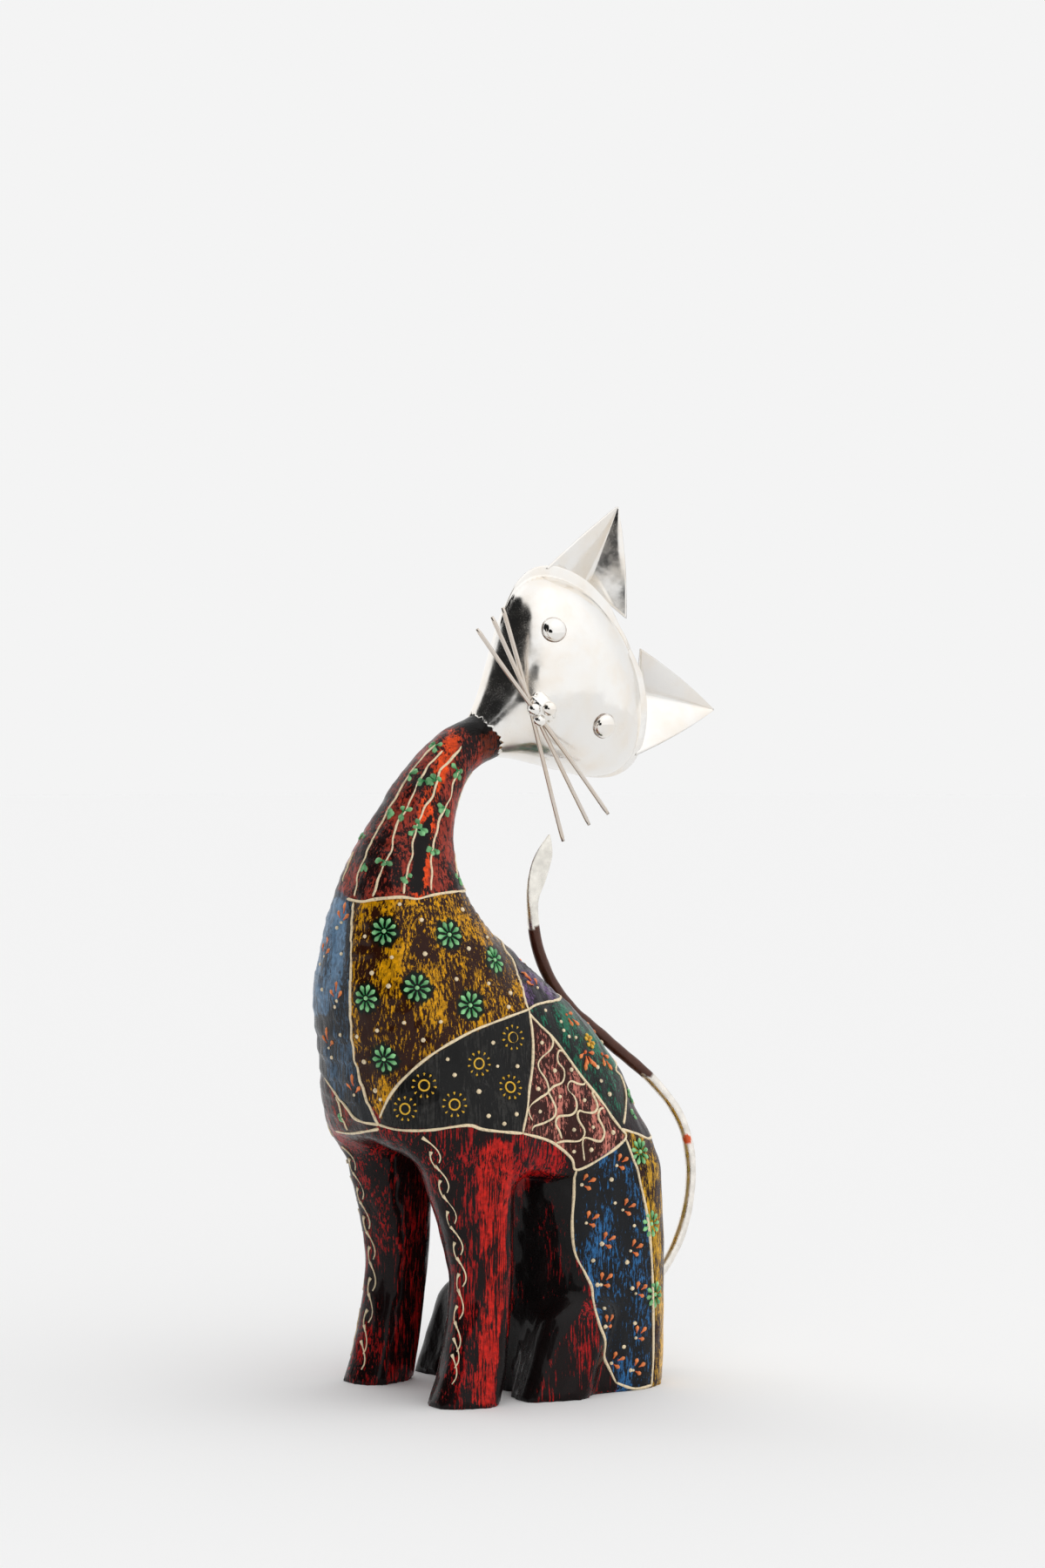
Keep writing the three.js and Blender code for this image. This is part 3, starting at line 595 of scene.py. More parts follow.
CREAM = (0.80, 0.66, 0.44)
LEAF_DARK, LEAF_LIGHT = (0.012, 0.20, 0.055), (0.30, 0.66, 0.30)
ORANGE_DARK, ORANGE_LIGHT = (0.66, 0.12, 0.03), (0.92, 0.30, 0.09)
GOLD, GOLD_DARK, GOLD_LIGHT = (0.78, 0.46, 0.04), (0.55, 0.26, 0.02), (0.85, 0.52, 0.06)
CRACK_TINT = (0.004, 0.003, 0.003)
# Half width and height of a stroke: a fine one of the vines and scrolls, and a crack
FINE = dict(half_width=0.42, height=0.42)
CRACK = dict(widths=0.16, height=0.12)
STROKE_SIDES, STROKE_ROUNDS = 8, 5
# The far side repeats a stroke where its mirror image turns this far from the camera
TURNED_AWAY = -0.03
# A line swells by a share of its width, over a length, and thins at its ends
SWELL, SWELL_LENGTH, LINE_END = 0.22, 9, 0.6
DOT_HEIGHT, DOT_RINGS, DOT_END = 0.6, 6, 0.97
PETAL_HEIGHT = 0.65
# Half widths of a petal along its length, as shares of its widest
TEARDROP = np.array([0.24, 0.28, 0.36, 0.52, 0.78, 0.98, 0.96, 0.68, 0.12])


def tube_faces(rings, turned=False):
    """Faces of a closed tube of rings, which may be turned inside out for a mirrored one."""
    faces = []
    for r in range(rings - 1):
        for s in range(STROKE_SIDES):
            n, a, b = (s + 1) % STROKE_SIDES, r * STROKE_SIDES, (r + 1) * STROKE_SIDES
            faces.append((a + s, b + s, b + n, a + n))
    faces.append(tuple(range(STROKE_SIDES)))
    faces.append(tuple(reversed(range((rings - 1) * STROKE_SIDES, rings * STROKE_SIDES))))
    return [face[::-1] for face in faces] if turned else faces


class Relief:
    """Strokes of raised paint, gathered into one piece."""

    def __init__(self):
        self.points, self.faces, self.tints, self.count = [], [], [], 0

    def add(self, points, faces, tints):
        self.points.append(points)
        self.tints.append(tints)
        self.faces += [tuple(i + self.count for i in face) for face in faces]
        self.count += len(points)

    def stroke(self, path, widths, height, tint, tip=None, mirrored=True):
        """A stroke along a path on the skin, with half widths for its points."""
        path = settle(path, STROKE_ROUNDS)
        normals = unit(slope_of(path))
        along = unit(np.gradient(path, axis=0))
        sides = np.cross(normals, along)
        angles = np.arange(STROKE_SIDES) * 2 * math.pi / STROKE_SIDES
        widths = np.broadcast_to(widths, len(path)).astype(float)
        heights = height * np.sqrt(widths / widths.max())
        rings = (
            path[:, None]
            + sides[:, None] * (widths[:, None] * np.cos(angles))[..., None]
            + normals[:, None] * (heights[:, None] * np.sin(angles))[..., None]
        )
        points = rings.reshape(-1, 3)
        shares = np.repeat(np.linspace(0, 1, len(path)), STROKE_SIDES)[:, None]
        tints = np.array(tint) * (1 - shares) + np.array(tip or tint) * shares
        self.add(points, tube_faces(len(path)), tints)
        if mirrored:
            self.repeat(rings, tints.reshape(-1, STROKE_SIDES, 3), normals)

    def repeat(self, rings, tints, normals):
        """The part of a stroke that the photograph hides on the far side."""
        turned = normals * (-1, 1, 1)
        hidden = (turned @ BACK < TURNED_AWAY) & ~on_far_chest(rings.mean(1) * (-1, 1, 1), turned)
        runs = np.split(np.arange(len(rings)), np.flatnonzero(np.diff(hidden)) + 1)
        for run in runs:
            if hidden[run[0]] and len(run) > 2:
                points = (rings[run] * (-1, 1, 1)).reshape(-1, 3)
                self.add(points, tube_faces(len(run), turned=True), tints[run].reshape(-1, 3))

    def line(self, points, half_width=0.54, height=0.5, **kept):
        """A line drawn from a cone of paint, with the small swellings of a hand at work."""
        path = smooth_path(points)
        widths = half_width * (1 + SWELL * waves(path, SWELL_LENGTH, 3))
        widths[[0, -1]] *= LINE_END
        self.stroke(path, widths, height, CREAM, **kept)

    def dot(self, centre, radius, tint=CREAM, **kept):
        across, _ = tangents(centre)
        path = centre + across * np.linspace(-1, 1, DOT_RINGS)[:, None] * radius
        widths = radius * np.sqrt(1 - np.linspace(-DOT_END, DOT_END, DOT_RINGS) ** 2)
        self.stroke(path, widths, DOT_HEIGHT, tint, **kept)

    def petal(self, centre, heading, start, length, half_width, tint, tip, **kept):
        """A teardrop that starts at a distance from a centre and swells towards its tip."""
        across, upward = tangents(centre)
        way = across * math.sin(heading) + upward * math.cos(heading)
        path = centre + way * (start + np.linspace(0, length, len(TEARDROP)))[:, None]
        self.stroke(path, half_width * TEARDROP, PETAL_HEIGHT, tint, tip, **kept)

    def piece(self, name):
        points = np.concatenate(self.points)
        made = piece(name, points, self.faces)
        colour_points(made, "tint", np.concatenate(self.tints))
        return made


def tangents(centre):
    """Unit ways across and up the skin at a point."""
    normal = unit(slope_of(centre[None]))[0]
    upward = np.array((0, 0, 1.0)) - normal * normal[2]
    upward = unit(upward)
    return np.cross(upward, normal), upward


# Petals of each flower, as where they start, their length and their half width
DAISY_RADIUS, DAISY_PETALS = 5.0, 9
DAISY_PETAL = (0.28 * DAISY_RADIUS, 0.72 * DAISY_RADIUS, 0.9)
BLOSSOM_PETALS, BLOSSOM_PETAL = 6, (0.9, 2.2, 0.95)
RING_RADIUS, RING_STROKE = 1.9, dict(widths=0.32, height=0.35)
RING_DASHES, RING_DASH = 11, (3.4, 1.2, 0.42)
# Drops of a sprig of size 1, as their turn, where they start and their length
SPRIG_DROPS = ((-0.8, 0.6, 0.95), (0, 0.9, 1.15), (0.8, 0.4, 0.95))
SPRIG_WIDTH, SPRIG_DOTS = 0.86, (0.5, 0.75)
LEAVES, LEAF_START, LEAF_LENGTHS, LEAF_WIDTHS = 4, 0.1, (2.2, 4.0), (0.9, 1.3)


def brightened(tint, low, high):
    return tuple(np.array(tint) * rng.uniform(low, high))


def daisy(relief, centre, **kept):
    turn = rng.uniform(0, 1)
    for k in range(DAISY_PETALS):
        light = brightened(LEAF_LIGHT, 0.75, 1.25)
        heading = (k + turn) * 2 * math.pi / DAISY_PETALS
        relief.petal(centre, heading, *DAISY_PETAL, LEAF_DARK, light, **kept)
    relief.dot(centre, 0.8, LEAF_LIGHT, **kept)


def sprig(relief, centre, heading, size=3.0, dot=CREAM, **kept):
    """Three drops that fan out from a dot."""
    for turn, start, length in SPRIG_DROPS:
        light = brightened(ORANGE_LIGHT, 0.75, 1.1)
        drop = (start * size, length * size, SPRIG_WIDTH)
        relief.petal(centre, heading + turn, *drop, ORANGE_DARK, light, **kept)
    relief.dot(centre, rng.uniform(*SPRIG_DOTS), dot, **kept)


def blossom(relief, centre, **kept):
    """A gold flower of full petals."""
    for k in range(BLOSSOM_PETALS):
        heading = k * 2 * math.pi / BLOSSOM_PETALS
        relief.petal(centre, heading, *BLOSSOM_PETAL, GOLD_DARK, GOLD_LIGHT, **kept)
    relief.dot(centre, 0.9, GOLD_DARK, **kept)


def leaf_cluster(relief, centre, **kept):
    for _ in range(LEAVES):
        length = rng.uniform(*LEAF_LENGTHS)
        light = brightened(LEAF_LIGHT, 0.45, 1.0)
        heading = rng.uniform(0, 2 * math.pi)
        width = rng.uniform(*LEAF_WIDTHS)
        relief.petal(centre, heading, LEAF_START, length, width, LEAF_DARK, light, **kept)


def ring_flower(relief, centre, **kept):
    """A small ring within a ring of dashes."""
    across, upward = tangents(centre)
    turns = np.linspace(0, 2 * math.pi, 17)[:, None]
    circle = centre + RING_RADIUS * (across * np.cos(turns) + upward * np.sin(turns))
    relief.stroke(circle, tint=GOLD, **RING_STROKE, **kept)
    for k in range(RING_DASHES):
        relief.petal(centre, k * 2 * math.pi / RING_DASHES, *RING_DASH, GOLD, GOLD, **kept)


# Places on the head, along its own axes, and the step from the design axes to the row's

HEAD_UP = np.array((0, math.sin(HEAD_LEAN), math.cos(HEAD_LEAN)))
HEAD_OUT = np.array((1.0, 0, 0))
HEAD_LEFT = np.cross(HEAD_UP, HEAD_OUT)
HEAD_PLACE = np.array((0, *NECK_END))


def on_head(up, left, out):
    up, left, out = np.broadcast_arrays(*(np.asarray(value, float) for value in (up, left, out)))
    return HEAD_PLACE + up[..., None] * HEAD_UP + left[..., None] * HEAD_LEFT + out[..., None] * HEAD_OUT


def whisker_out(index):
    return WHISKER_OUT + WHISKER_RADIUS + index * (2 * WHISKER_RADIUS + GAP)


def row_shift():
    name, right_up, left_up = WHISKERS[1]
    low, high = (np.array(corner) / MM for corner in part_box("whisker_" + name))
    return (low + high) / 2 - on_head((right_up + left_up) / 2, 0, whisker_out(1))


SHIFT = row_shift()


def piece(name, points, faces):
    """A mesh object from points in mm on the design axes."""
    mesh = bpy.data.meshes.new(name)
    mesh.from_pydata(((points + SHIFT) * MM).tolist(), [], [tuple(int(i) for i in face) for face in faces])
    mesh.validate()
    mesh.polygons.foreach_set("use_smooth", [True] * len(mesh.polygons))
    made = bpy.data.objects.new(name, mesh)
    bpy.context.collection.objects.link(made)
    return made


def colour_points(made, name, colours):
    layer = made.data.attributes.new(name, "FLOAT_COLOR", "POINT")
    layer.data.foreach_set("color", np.column_stack([colours, np.ones(len(colours))]).ravel())


def weigh_points(made, name, values):
    made.data.attributes.new(name, "FLOAT", "POINT").data.foreach_set("value", np.asarray(values, float))


def grid_faces(rows, columns, closed=False):
    """Quads of a grid of points laid out in rows, which may close on itself across the columns."""
    faces = []
    for r in range(rows - 1):
        for c in range(columns if closed else columns - 1):
            n = (c + 1) % columns
            faces.append((r * columns + c, r * columns + n, (r + 1) * columns + n, (r + 1) * columns + c))
    return faces


def capped_faces(rows, columns):
    """Faces of a closed form of rings, with a cap at each end."""
    first, last = range(columns), range((rows - 1) * columns, rows * columns)
    return [*grid_faces(rows, columns, closed=True), tuple(first), tuple(last)[::-1]]


def outward(made):
    """Turns every face of a closed piece outwards."""
    work = bmesh.new()
    work.from_mesh(made.data)
    bmesh.ops.recalc_face_normals(work, faces=work.faces)
    work.to_mesh(made.data)
    work.free()
    return made


# Materials

METAL, WIRE = (0.875, 0.86, 0.832), (0.66, 0.60, 0.54)
# What the plating's colour is multiplied by where it is worn warm, and the brown of its tarnish, which also
# paints shade round the feet of the eyes
WARMTH, TARNISH_AND_SHADE = (0.99, 0.94, 0.88), (0.20, 0.10, 0.045)


class Nodes:
    """A tree of shader nodes."""

    def __init__(self, tree):
        self.tree = tree

    def node(self, kind, **settings):
        made = self.tree.nodes.new("ShaderNode" + kind)
        for key, value in settings.items():
            setattr(made, key, value)
        return made

    def feed(self, socket, value):
        if isinstance(value, bpy.types.NodeSocket):
            self.tree.links.new(value, socket)
        elif isinstance(value, tuple) and len(value) == 3 and socket.type == "RGBA":
            socket.default_value = (*value, 1)
        else:
            socket.default_value = value

    def math(self, operation, a, b):
        made = self.node("Math", operation=operation)
        self.feed(made.inputs[0], a)
        self.feed(made.inputs[1], b)
        return made.outputs[0]

    def ramp(self, value, low, high, start=0.0, end=1.0):
        made = self.node("MapRange", interpolation_type="SMOOTHSTEP")
        for socket, given in zip(made.inputs, (value, low, high, start, end)):
            self.feed(socket, given)
        return made.outputs[0]


class Shader(Nodes):
    """A material's nodes. Sizes of its textures are in mm."""

    def __init__(self, name):
        self.material = bpy.data.materials.new(name)
        self.material.use_nodes = True
        super().__init__(self.material.node_tree)
        self.surface = self.tree.nodes["Principled BSDF"]
        self.place = self.node("TexCoord").outputs["Object"]

    def set(self, **values):
        for name, value in values.items():
            self.feed(self.surface.inputs[name.replace("_", " ")], value)

    def attribute(self, name, output="Color"):
        return self.node("Attribute", attribute_name=name).outputs[output]

    def noise(self, size, detail=3.0, roughness=0.55):
        mapping = self.node("Mapping")
        self.feed(mapping.inputs["Vector"], self.place)
        mapping.inputs["Scale"].default_value = 1 / (np.broadcast_to(size, 3) * MM)
        made = self.node("TexNoise")
        kept = dict(Vector=mapping.outputs[0], Scale=1, Detail=detail, Roughness=roughness)
        for name, value in kept.items():
            self.feed(made.inputs[name], value)
        return made.outputs[0]

    def mix(self, share, a, b, blend="MIX"):
        made = self.node("Mix", data_type="RGBA", blend_type=blend)
        self.feed(made.inputs["Factor"], share)
        self.feed(made.inputs[6], a)
        self.feed(made.inputs[7], b)
        return made.outputs[2]

    def shaded(self, attribute, value):
        """A colour kept at the points, made lighter or darker by a value."""
        grey = self.node("CombineColor")
        for socket in grey.inputs:
            self.feed(socket, value)
        return self.mix(1.0, self.attribute(attribute), grey.outputs[0], "MULTIPLY")

    def bump(self, height, distance, after=None):
        made = self.node("Bump")
        made.inputs["Distance"].default_value = distance * MM
        self.feed(made.inputs["Height"], height)
        if after:
            self.feed(made.inputs["Normal"], after)
        return made.outputs[0]


def painted_wood():
    """Colour dragged with a dry brush over a dark ground, under gloss lacquer."""
    s = Shader("painted_wood")
    fine = s.noise((0.85, 0.85, 3.2), detail=6, roughness=0.72)
    long = s.noise((0.7, 0.7, 13), detail=6, roughness=0.7)
    drag = s.attribute("drag", "Fac")
    bristles = s.math("ADD", fine, s.math("MULTIPLY", drag, s.math("SUBTRACT", long, fine)))
    patches = s.noise((6, 6, 14), detail=3)
    cover = s.math("MULTIPLY", s.attribute("cover", "Fac"), 0.5)
    amount = s.math("ADD", s.math("ADD", bristles, s.math("MULTIPLY", patches, 0.35)), cover)
    paint = s.ramp(amount, 0.885, 0.925)
    light = s.ramp(s.noise(2.2, detail=5, roughness=0.65), 0.3, 0.72, 0.55, 1.3)
    s.set(Base_Color=s.mix(paint, s.attribute("ground"), s.shaded("fleck", light)))
    s.set(Roughness=s.ramp(s.noise(5), 0.3, 0.7, 0.20, 0.36), Specular_IOR_Level=0.06)
    s.set(Coat_Weight=0.2, Coat_Roughness=0.06)
    brushed = s.bump(paint, 0.09)
    s.set(Normal=s.bump(s.noise((1.8, 1.8, 4.5), detail=5), 0.4, brushed))
    return s.material


def raised_paint():
    s = Shader("raised_paint")
    worn = s.ramp(s.noise(1.1, detail=4), 0.28, 0.55, 0.72, 1.12)
    s.set(Base_Color=s.shaded("tint", worn))
    s.set(Roughness=s.ramp(s.noise(3), 0.3, 0.7, 0.28, 0.45), Specular_IOR_Level=0.2)
    s.set(Coat_Weight=0.12, Coat_Roughness=0.12)
    s.set(Normal=s.bump(s.noise(0.9, detail=3), 0.12))
    return s.material


def bright_metal(name, colour, polish, grain, hammering=0.16):
    """Plated metal with faint hammer waves, fine scratches, and brown where points have it: tarnish, and
    painted shade at the feet of the eyes.
    """
    s = Shader(name)
    soft = s.noise(14, detail=3)
    specks = s.noise(0.35, detail=2)
    mottled = s.math("MULTIPLY", s.noise(2.2, detail=5, roughness=0.7), 0.8)
    # Brown where the points' weight has it: tarnish on the head, and painted shade at the eyes' feet
    stain_and_shade = s.ramp(s.math("ADD", s.attribute("tarnish_and_shade", "Fac"), mottled), 0.82, 1.12)
    warm = s.mix(s.ramp(soft, 0.35, 0.75), colour, tuple(c * k for c, k in zip(colour, WARMTH)))
    s.set(Base_Color=s.mix(stain_and_shade, warm, TARNISH_AND_SHADE), Metallic=s.ramp(stain_and_shade, 0, 1, 1.0, 0.55))
    worn = s.ramp(s.noise(7, detail=4), 0.3, 0.75, polish, 2.2 * polish)
    rough = s.math("ADD", worn, s.ramp(specks, 0.55, 0.8, 0, grain))
    s.set(Roughness=s.math("ADD", rough, s.math("MULTIPLY", stain_and_shade, 0.3)))
    s.set(Normal=s.bump(soft, hammering))
    return s.material


def tail_metal():
    """Bright below, a brown coat above, dull beaten metal at the leaf."""
    s = Shader("tail_metal")
    painted = s.attribute("painted", "Fac")
    worn = s.ramp(s.noise(3.5, detail=4), 0.3, 0.7, 0.86, 1.06)
    s.set(Base_Color=s.shaded("tint", worn))
    s.set(Metallic=s.ramp(painted, 0, 1, 1.0, 0.25), Roughness=s.ramp(s.noise(3), 0.3, 0.7, 0.2, 0.42))
    s.set(Normal=s.bump(s.noise(5, detail=3), 0.2))
    return s.material


# The painted body

CARVING = 0.22
NECK_BARE = 7.5
HALO_RADIUS = 5.6
BARE_RED = [(540, 846), (572, 836), (580, 860), (566, 885), (545, 880)]


def paint_names(points, normals):
    """The paint at each point: its field, the green haloes of the daisies, and the worn end of the neck."""
    names = field_names(points, normals)
    for place in seen(*DAISIES):
        close = np.linalg.norm(points - place, axis=1) < HALO_RADIUS * (1 + 0.1 * waves(points, 3, 15))
        names[close & (names == "yellow")] = "halo"
    names[(points - HEAD_PLACE) @ HEAD_UP > -NECK_BARE + 1.2 * waves(points, 6, 14)] = "bare"
    reddish = inside_outline(pixels_of(points), BARE_RED)
    names[reddish & (names == "bare")] = "bare_red"
    return names


def body_piece():
    points, quads = skin(*BODY_ROOM, BODY_CELL)
    above = points[:, 2] > 0.6
    points[above] = settle(points[above], 2)
    points[:, 2] = np.maximum(points[:, 2], 0)
    normals = unit(slope_of(points))
    folded = points * (1, 1, 0.45)
    depth = CARVING * (waves(folded, 11, 5) + 0.6 * waves(folded, 5, 6)) * above
    made = piece("body_wood", points + normals * depth[:, None], quads)
    paint = [COLOURS[name] for name in paint_names(points, normals)]
    ground, fleck, cover, drag = (np.array(column) for column in zip(*paint))
    colour_points(made, "ground", ground)
    colour_points(made, "fleck", fleck)
    wander = COVER_WANDER * waves(points * (1, 1, 0.3), COVER_BAND, 16) * (cover > 0.2)
    weigh_points(made, "cover", cover + wander)
    weigh_points(made, "drag", drag)
    return made


# Where the paint is laid, in the photograph's pixels. The far side repeats each stroke that it hides.

# The two hooks that take turns down a leg, as steps along it and aside
HOOK_PITCH = 11.6
# Half width of a hook's tail, what its head adds to that, and over what length
HOOK_TAIL, HOOK_HEAD, HOOK_HEAD_LENGTH = 0.26, 0.46, 1.3
HOOKS = [
    [(0, -1.0), (2.6, 0.6), (5.6, 1.9), (8.2, 2.0), (10.4, 0.9)],
    [(0, -0.6), (2.2, -1.6), (5.0, -1.5), (8.0, 0.1)],
]
NECK_VINES = [
    [
        (500, 855), (487, 868), (468, 892), (453, 917), (443, 937), (430, 960), (421, 982), (412, 1003),
        (407, 1029),
    ],
    [(508, 862), (498, 873), (480, 900), (465, 928), (454, 955), (447, 980), (437, 1003), (428, 1029)],
    [(530, 857), (520, 868), (510, 882), (495, 913), (481, 941), (475, 963), (470, 992), (463, 1026)],
    [(526, 883), (522, 897), (517, 915), (506, 936), (498, 967), (496, 987), (495, 1007), (495, 1022)],
    [(527, 926), (523, 957), (522, 980), (526, 1010)],
    [(436, 912), (420, 945), (406, 978), (394, 1012)],
]
NECK_LEAVES = [
    (500, 856), (470, 889), (445, 936), (419, 991), (463, 932), (441, 988), (500, 897), (482, 950),
    (466, 1006), (511, 927), (498, 974), (525, 884), (526, 1008), (443, 908), (418, 958), (487, 896),
    (477, 953),
]
LEG_VINES = [
    [
        (394, 1316), (404, 1335), (411, 1358), (417, 1387), (424, 1420), (427, 1450), (424, 1500),
        (416, 1545), (411, 1588),
    ],
    [
        (488, 1306), (497, 1322), (509, 1362), (518, 1398), (526, 1437), (529, 1470), (526, 1505),
        (521, 1560), (513, 1606),
    ],
]
DAISIES = [
    (441, 1069), (516, 1073), (568, 1102), (479, 1134), (420, 1146), (540, 1154), (441, 1216),
    (735, 1322), (748, 1405), (752, 1486),
]
SMALL_SPRIGS = [
    (392, 1059), (373, 1098), (387, 1149), (378, 1203), (407, 1257), (617, 1134),
]
PANEL_FANS = [
    (708, 1338), (668, 1360), (715, 1389), (673, 1404), (692, 1428), (724, 1436), (690, 1475), (730, 1485),
    (696, 1523), (730, 1536), (702, 1565), (727, 1573),
]
# A fan's place and heading
FANS = [((650, 1165), 2.3), ((672, 1207), 3.5), ((672, 1208), 2.5), ((691, 1210), 2.7)]
GOLD_FLOWER = (677, 1195)
RING_FLOWERS = [(589, 1191), (550, 1221), (586, 1248), (487, 1246), (522, 1268), (465, 1273)]
SHOOTS = [(723, 1258), (728, 1279), (393, 1282)]
DOT_RADII = (0.68, 0.95)
CREAM_DOTS = [
    (484, 1056), (531, 1044), (488, 1095), (450, 1099), (419, 1075), (538, 1089), (559, 1076), (427, 1117),
    (446, 1132), (524, 1124), (561, 1129), (464, 1174), (506, 1173), (433, 1183), (410, 1190), (486, 1194),
    (418, 1219), (586, 1140), (584, 1156), (431, 1252), (437, 1262), (459, 1038),
    (566, 1197), (514, 1216), (571, 1224), (594, 1224), (522, 1234), (550, 1253), (561, 1281), (593, 1279),
    (579, 1290), (387, 1065), (392, 1095), (370, 1136), (385, 1156), (391, 1188), (381, 1214), (368, 1107),
    (702, 1354), (706, 1381), (728, 1407), (691, 1428), (681, 1447), (720, 1449), (726, 1479), (686, 1475),
    (694, 1502), (695, 1523), (729, 1519), (716, 1546), (724, 1573),
    (653, 1190), (661, 1191), (647, 1183), (626, 1160), (644, 1173), (686, 1225), (690, 1241), (700, 1256),
    (622, 1197), (637, 1229), (656, 1228), (618, 1250), (643, 1259), (671, 1263), (620, 1276), (659, 1297),
    (681, 1294), (704, 1300), (659, 1322), (679, 1320),
]
SCROLLS = [
    [
        (628, 1184), (633, 1191), (635, 1197), (632, 1205), (623, 1213), (618, 1220), (619, 1228),
        (626, 1238), (629, 1246), (629, 1254), (619, 1261), (609, 1269), (607, 1277), (611, 1286),
    ],
    [(629, 1253), (634, 1263), (638, 1273), (636, 1282), (625, 1289), (613, 1293), (611, 1298)],
    [
        (647, 1207), (642, 1206), (640, 1212), (641, 1220), (647, 1227), (648, 1235), (645, 1243),
        (636, 1247), (629, 1254),
    ],
    [
        (672, 1242), (670, 1245), (663, 1244), (656, 1241), (652, 1244), (652, 1251), (659, 1259),
        (662, 1267), (661, 1275), (655, 1280), (641, 1282), (638, 1290), (642, 1298), (645, 1307),
    ],
    [
        (682, 1251), (680, 1255), (684, 1263), (686, 1271), (682, 1277), (672, 1277), (665, 1275),
        (663, 1281), (666, 1289), (671, 1297), (670, 1305), (664, 1310), (649, 1310), (639, 1312),
    ],
    [
        (698, 1275), (692, 1272), (688, 1275), (687, 1283), (691, 1291), (694, 1300), (691, 1309),
        (686, 1310), (672, 1306), (669, 1312), (670, 1324), (671, 1332),
    ],
]
SEAMS = [
    CHEST_SEAM, SHOULDER_SEAM, LOIN_SEAM, RUMP_SEAM, THIGH_SEAM, BELLY_SEAM, PANEL_FRONT, PANEL_BACK,
    APRON_SEAM, APRON_FOLD, APRON_HEM, PANEL_FOOT,
]
# Seams that run on over the back, each with the height at which it crosses the middle
LONG_SEAMS = [
    (RING, 188), (SPINE_SEAM[::-1], 168), (SADDLE_SEAM, 144), (HIP_SEAM[::-1], 122), (CROUP_SEAM, 92),
]
OVER_THE_BACK = (0.35, 0.7, 1)
# Fine joints of the wood that show through the lacquer
CRACKS = [
    [(587, 1096), (599, 1120), (609, 1148), (616, 1170), (619, 1200), (617, 1232)],
    [(741, 1340), (748, 1400), (752, 1470), (752, 1530), (751, 1585)],
]
# Paint on the back, as x and z
BACK_VINES = [
    [(4, 226), (6, 214), (5, 202), (8, 190)],
    [(-5, 226), (-4, 214), (-7, 202), (-5, 190)],
]
BACK_DAISIES = [(0, 178), (0, 70), (-18, 52), (17, 50), (0, 30)]
BACK_FANS = [(0, 155), (-12, 132), (12, 132), (0, 105), (-24, 75), (24, 75), (-14, 16), (15, 14)]
BACK_DOTS = [
    (9, 180), (-9, 174), (6, 155), (-8, 158), (0, 134), (18, 126), (-18, 126), (-8, 110), (10, 108),
    (-20, 104), (20, 103), (12, 82), (-12, 80), (-6, 56), (7, 54), (26, 60), (-27, 60), (10, 38),
    (-11, 38), (20, 30), (-22, 28), (0, 14),
]


def lay_seams():
    lines = Relief()
    for seam in SEAMS:
        lines.line(seen(*seam))
    for seam, height in LONG_SEAMS:
        near = seen(*seam)
        x, _, z = near[-1]
        on_back = behind(*[(x * (1 - share), z + (height - z) * share) for share in OVER_THE_BACK])
        lines.line(np.concatenate([near, on_back]))
    lines.line(ahead(*FAR_CHEST), mirrored=False)
    for scroll in SCROLLS:
        lines.line(seen(*scroll), **FINE)
    for crack in CRACKS:
        lines.stroke(smooth_path(seen(*crack)), tint=CRACK_TINT, **CRACK)
    for spot in seen(*CREAM_DOTS):
        lines.dot(spot, rng.uniform(*DOT_RADII))
    for spot in behind(*BACK_DOTS):
        lines.dot(spot, rng.uniform(*DOT_RADII), mirrored=False)
    return lines.piece("cream_line_work")


def trembling(points):
    """A path that sways a little to the sides."""
    path = smooth_path(points, 1.5)
    along = unit(np.gradient(path, axis=0))
    return path + np.cross(unit(slope_of(path)), along) * 0.55 * waves(path, 8, 61)[:, None]


def lay_hook(vines, path, start, hook):
    """A hook that swells at its head, laid from a place along a path of points 1 mm apart."""
    along, aside = smooth_path(hook, spacing=0.7).T
    steps = range(len(path))
    spots = np.stack([np.interp(start + along, steps, path[:, k]) for k in range(3)], axis=1)
    across, _ = tangents(spots[0])
    widths = HOOK_TAIL + HOOK_HEAD * np.exp(-((along / HOOK_HEAD_LENGTH) ** 2))
    vines.stroke(spots + across * aside[:, None], widths, 0.5, CREAM)


def lay_vines():
    vines = Relief()
    for vine in NECK_VINES:
        vines.line(trembling(seen(*vine)), **FINE)
    for vine in BACK_VINES:
        vines.line(trembling(behind(*vine)), mirrored=False, **FINE)
    for vine in LEG_VINES:
        path = smooth_path(seen(*vine), spacing=1.0)
        for start in np.arange(0, len(path) - HOOK_PITCH, HOOK_PITCH / 2):
            lay_hook(vines, path, start, HOOKS[int(2 * start / HOOK_PITCH) % 2])
    return vines.piece("cream_vines")


def lay_flowers():
    paint = Relief()
    for spot in seen(*DAISIES):
        daisy(paint, spot)
    for spot in seen(*SMALL_SPRIGS):
        sprig(paint, spot, rng.uniform(-0.15, 0.15), size=3.8)
    for spot in seen(*PANEL_FANS):
        sprig(paint, spot, rng.uniform(0.8, 1.35))
    for place, heading in FANS:
        sprig(paint, seen(place)[0], heading, size=3.6, dot=ORANGE_DARK)
    blossom(paint, seen(GOLD_FLOWER)[0])
    for spot in seen(*RING_FLOWERS):
        ring_flower(paint, spot)
    for spot in seen(*NECK_LEAVES, *SHOOTS):
        leaf_cluster(paint, spot)
    for spot in behind(*BACK_DAISIES):
        daisy(paint, spot, mirrored=False)
    for spot in behind(*BACK_FANS):
        sprig(paint, spot, rng.uniform(-2.4, 2.4), mirrored=False)
    return paint.piece("flowers")


# Metal: the head's two pressed halves and their rim in one skin, with a jagged collar round the neck

HEAD_COLUMNS, HEAD_ROWS = 176, 110
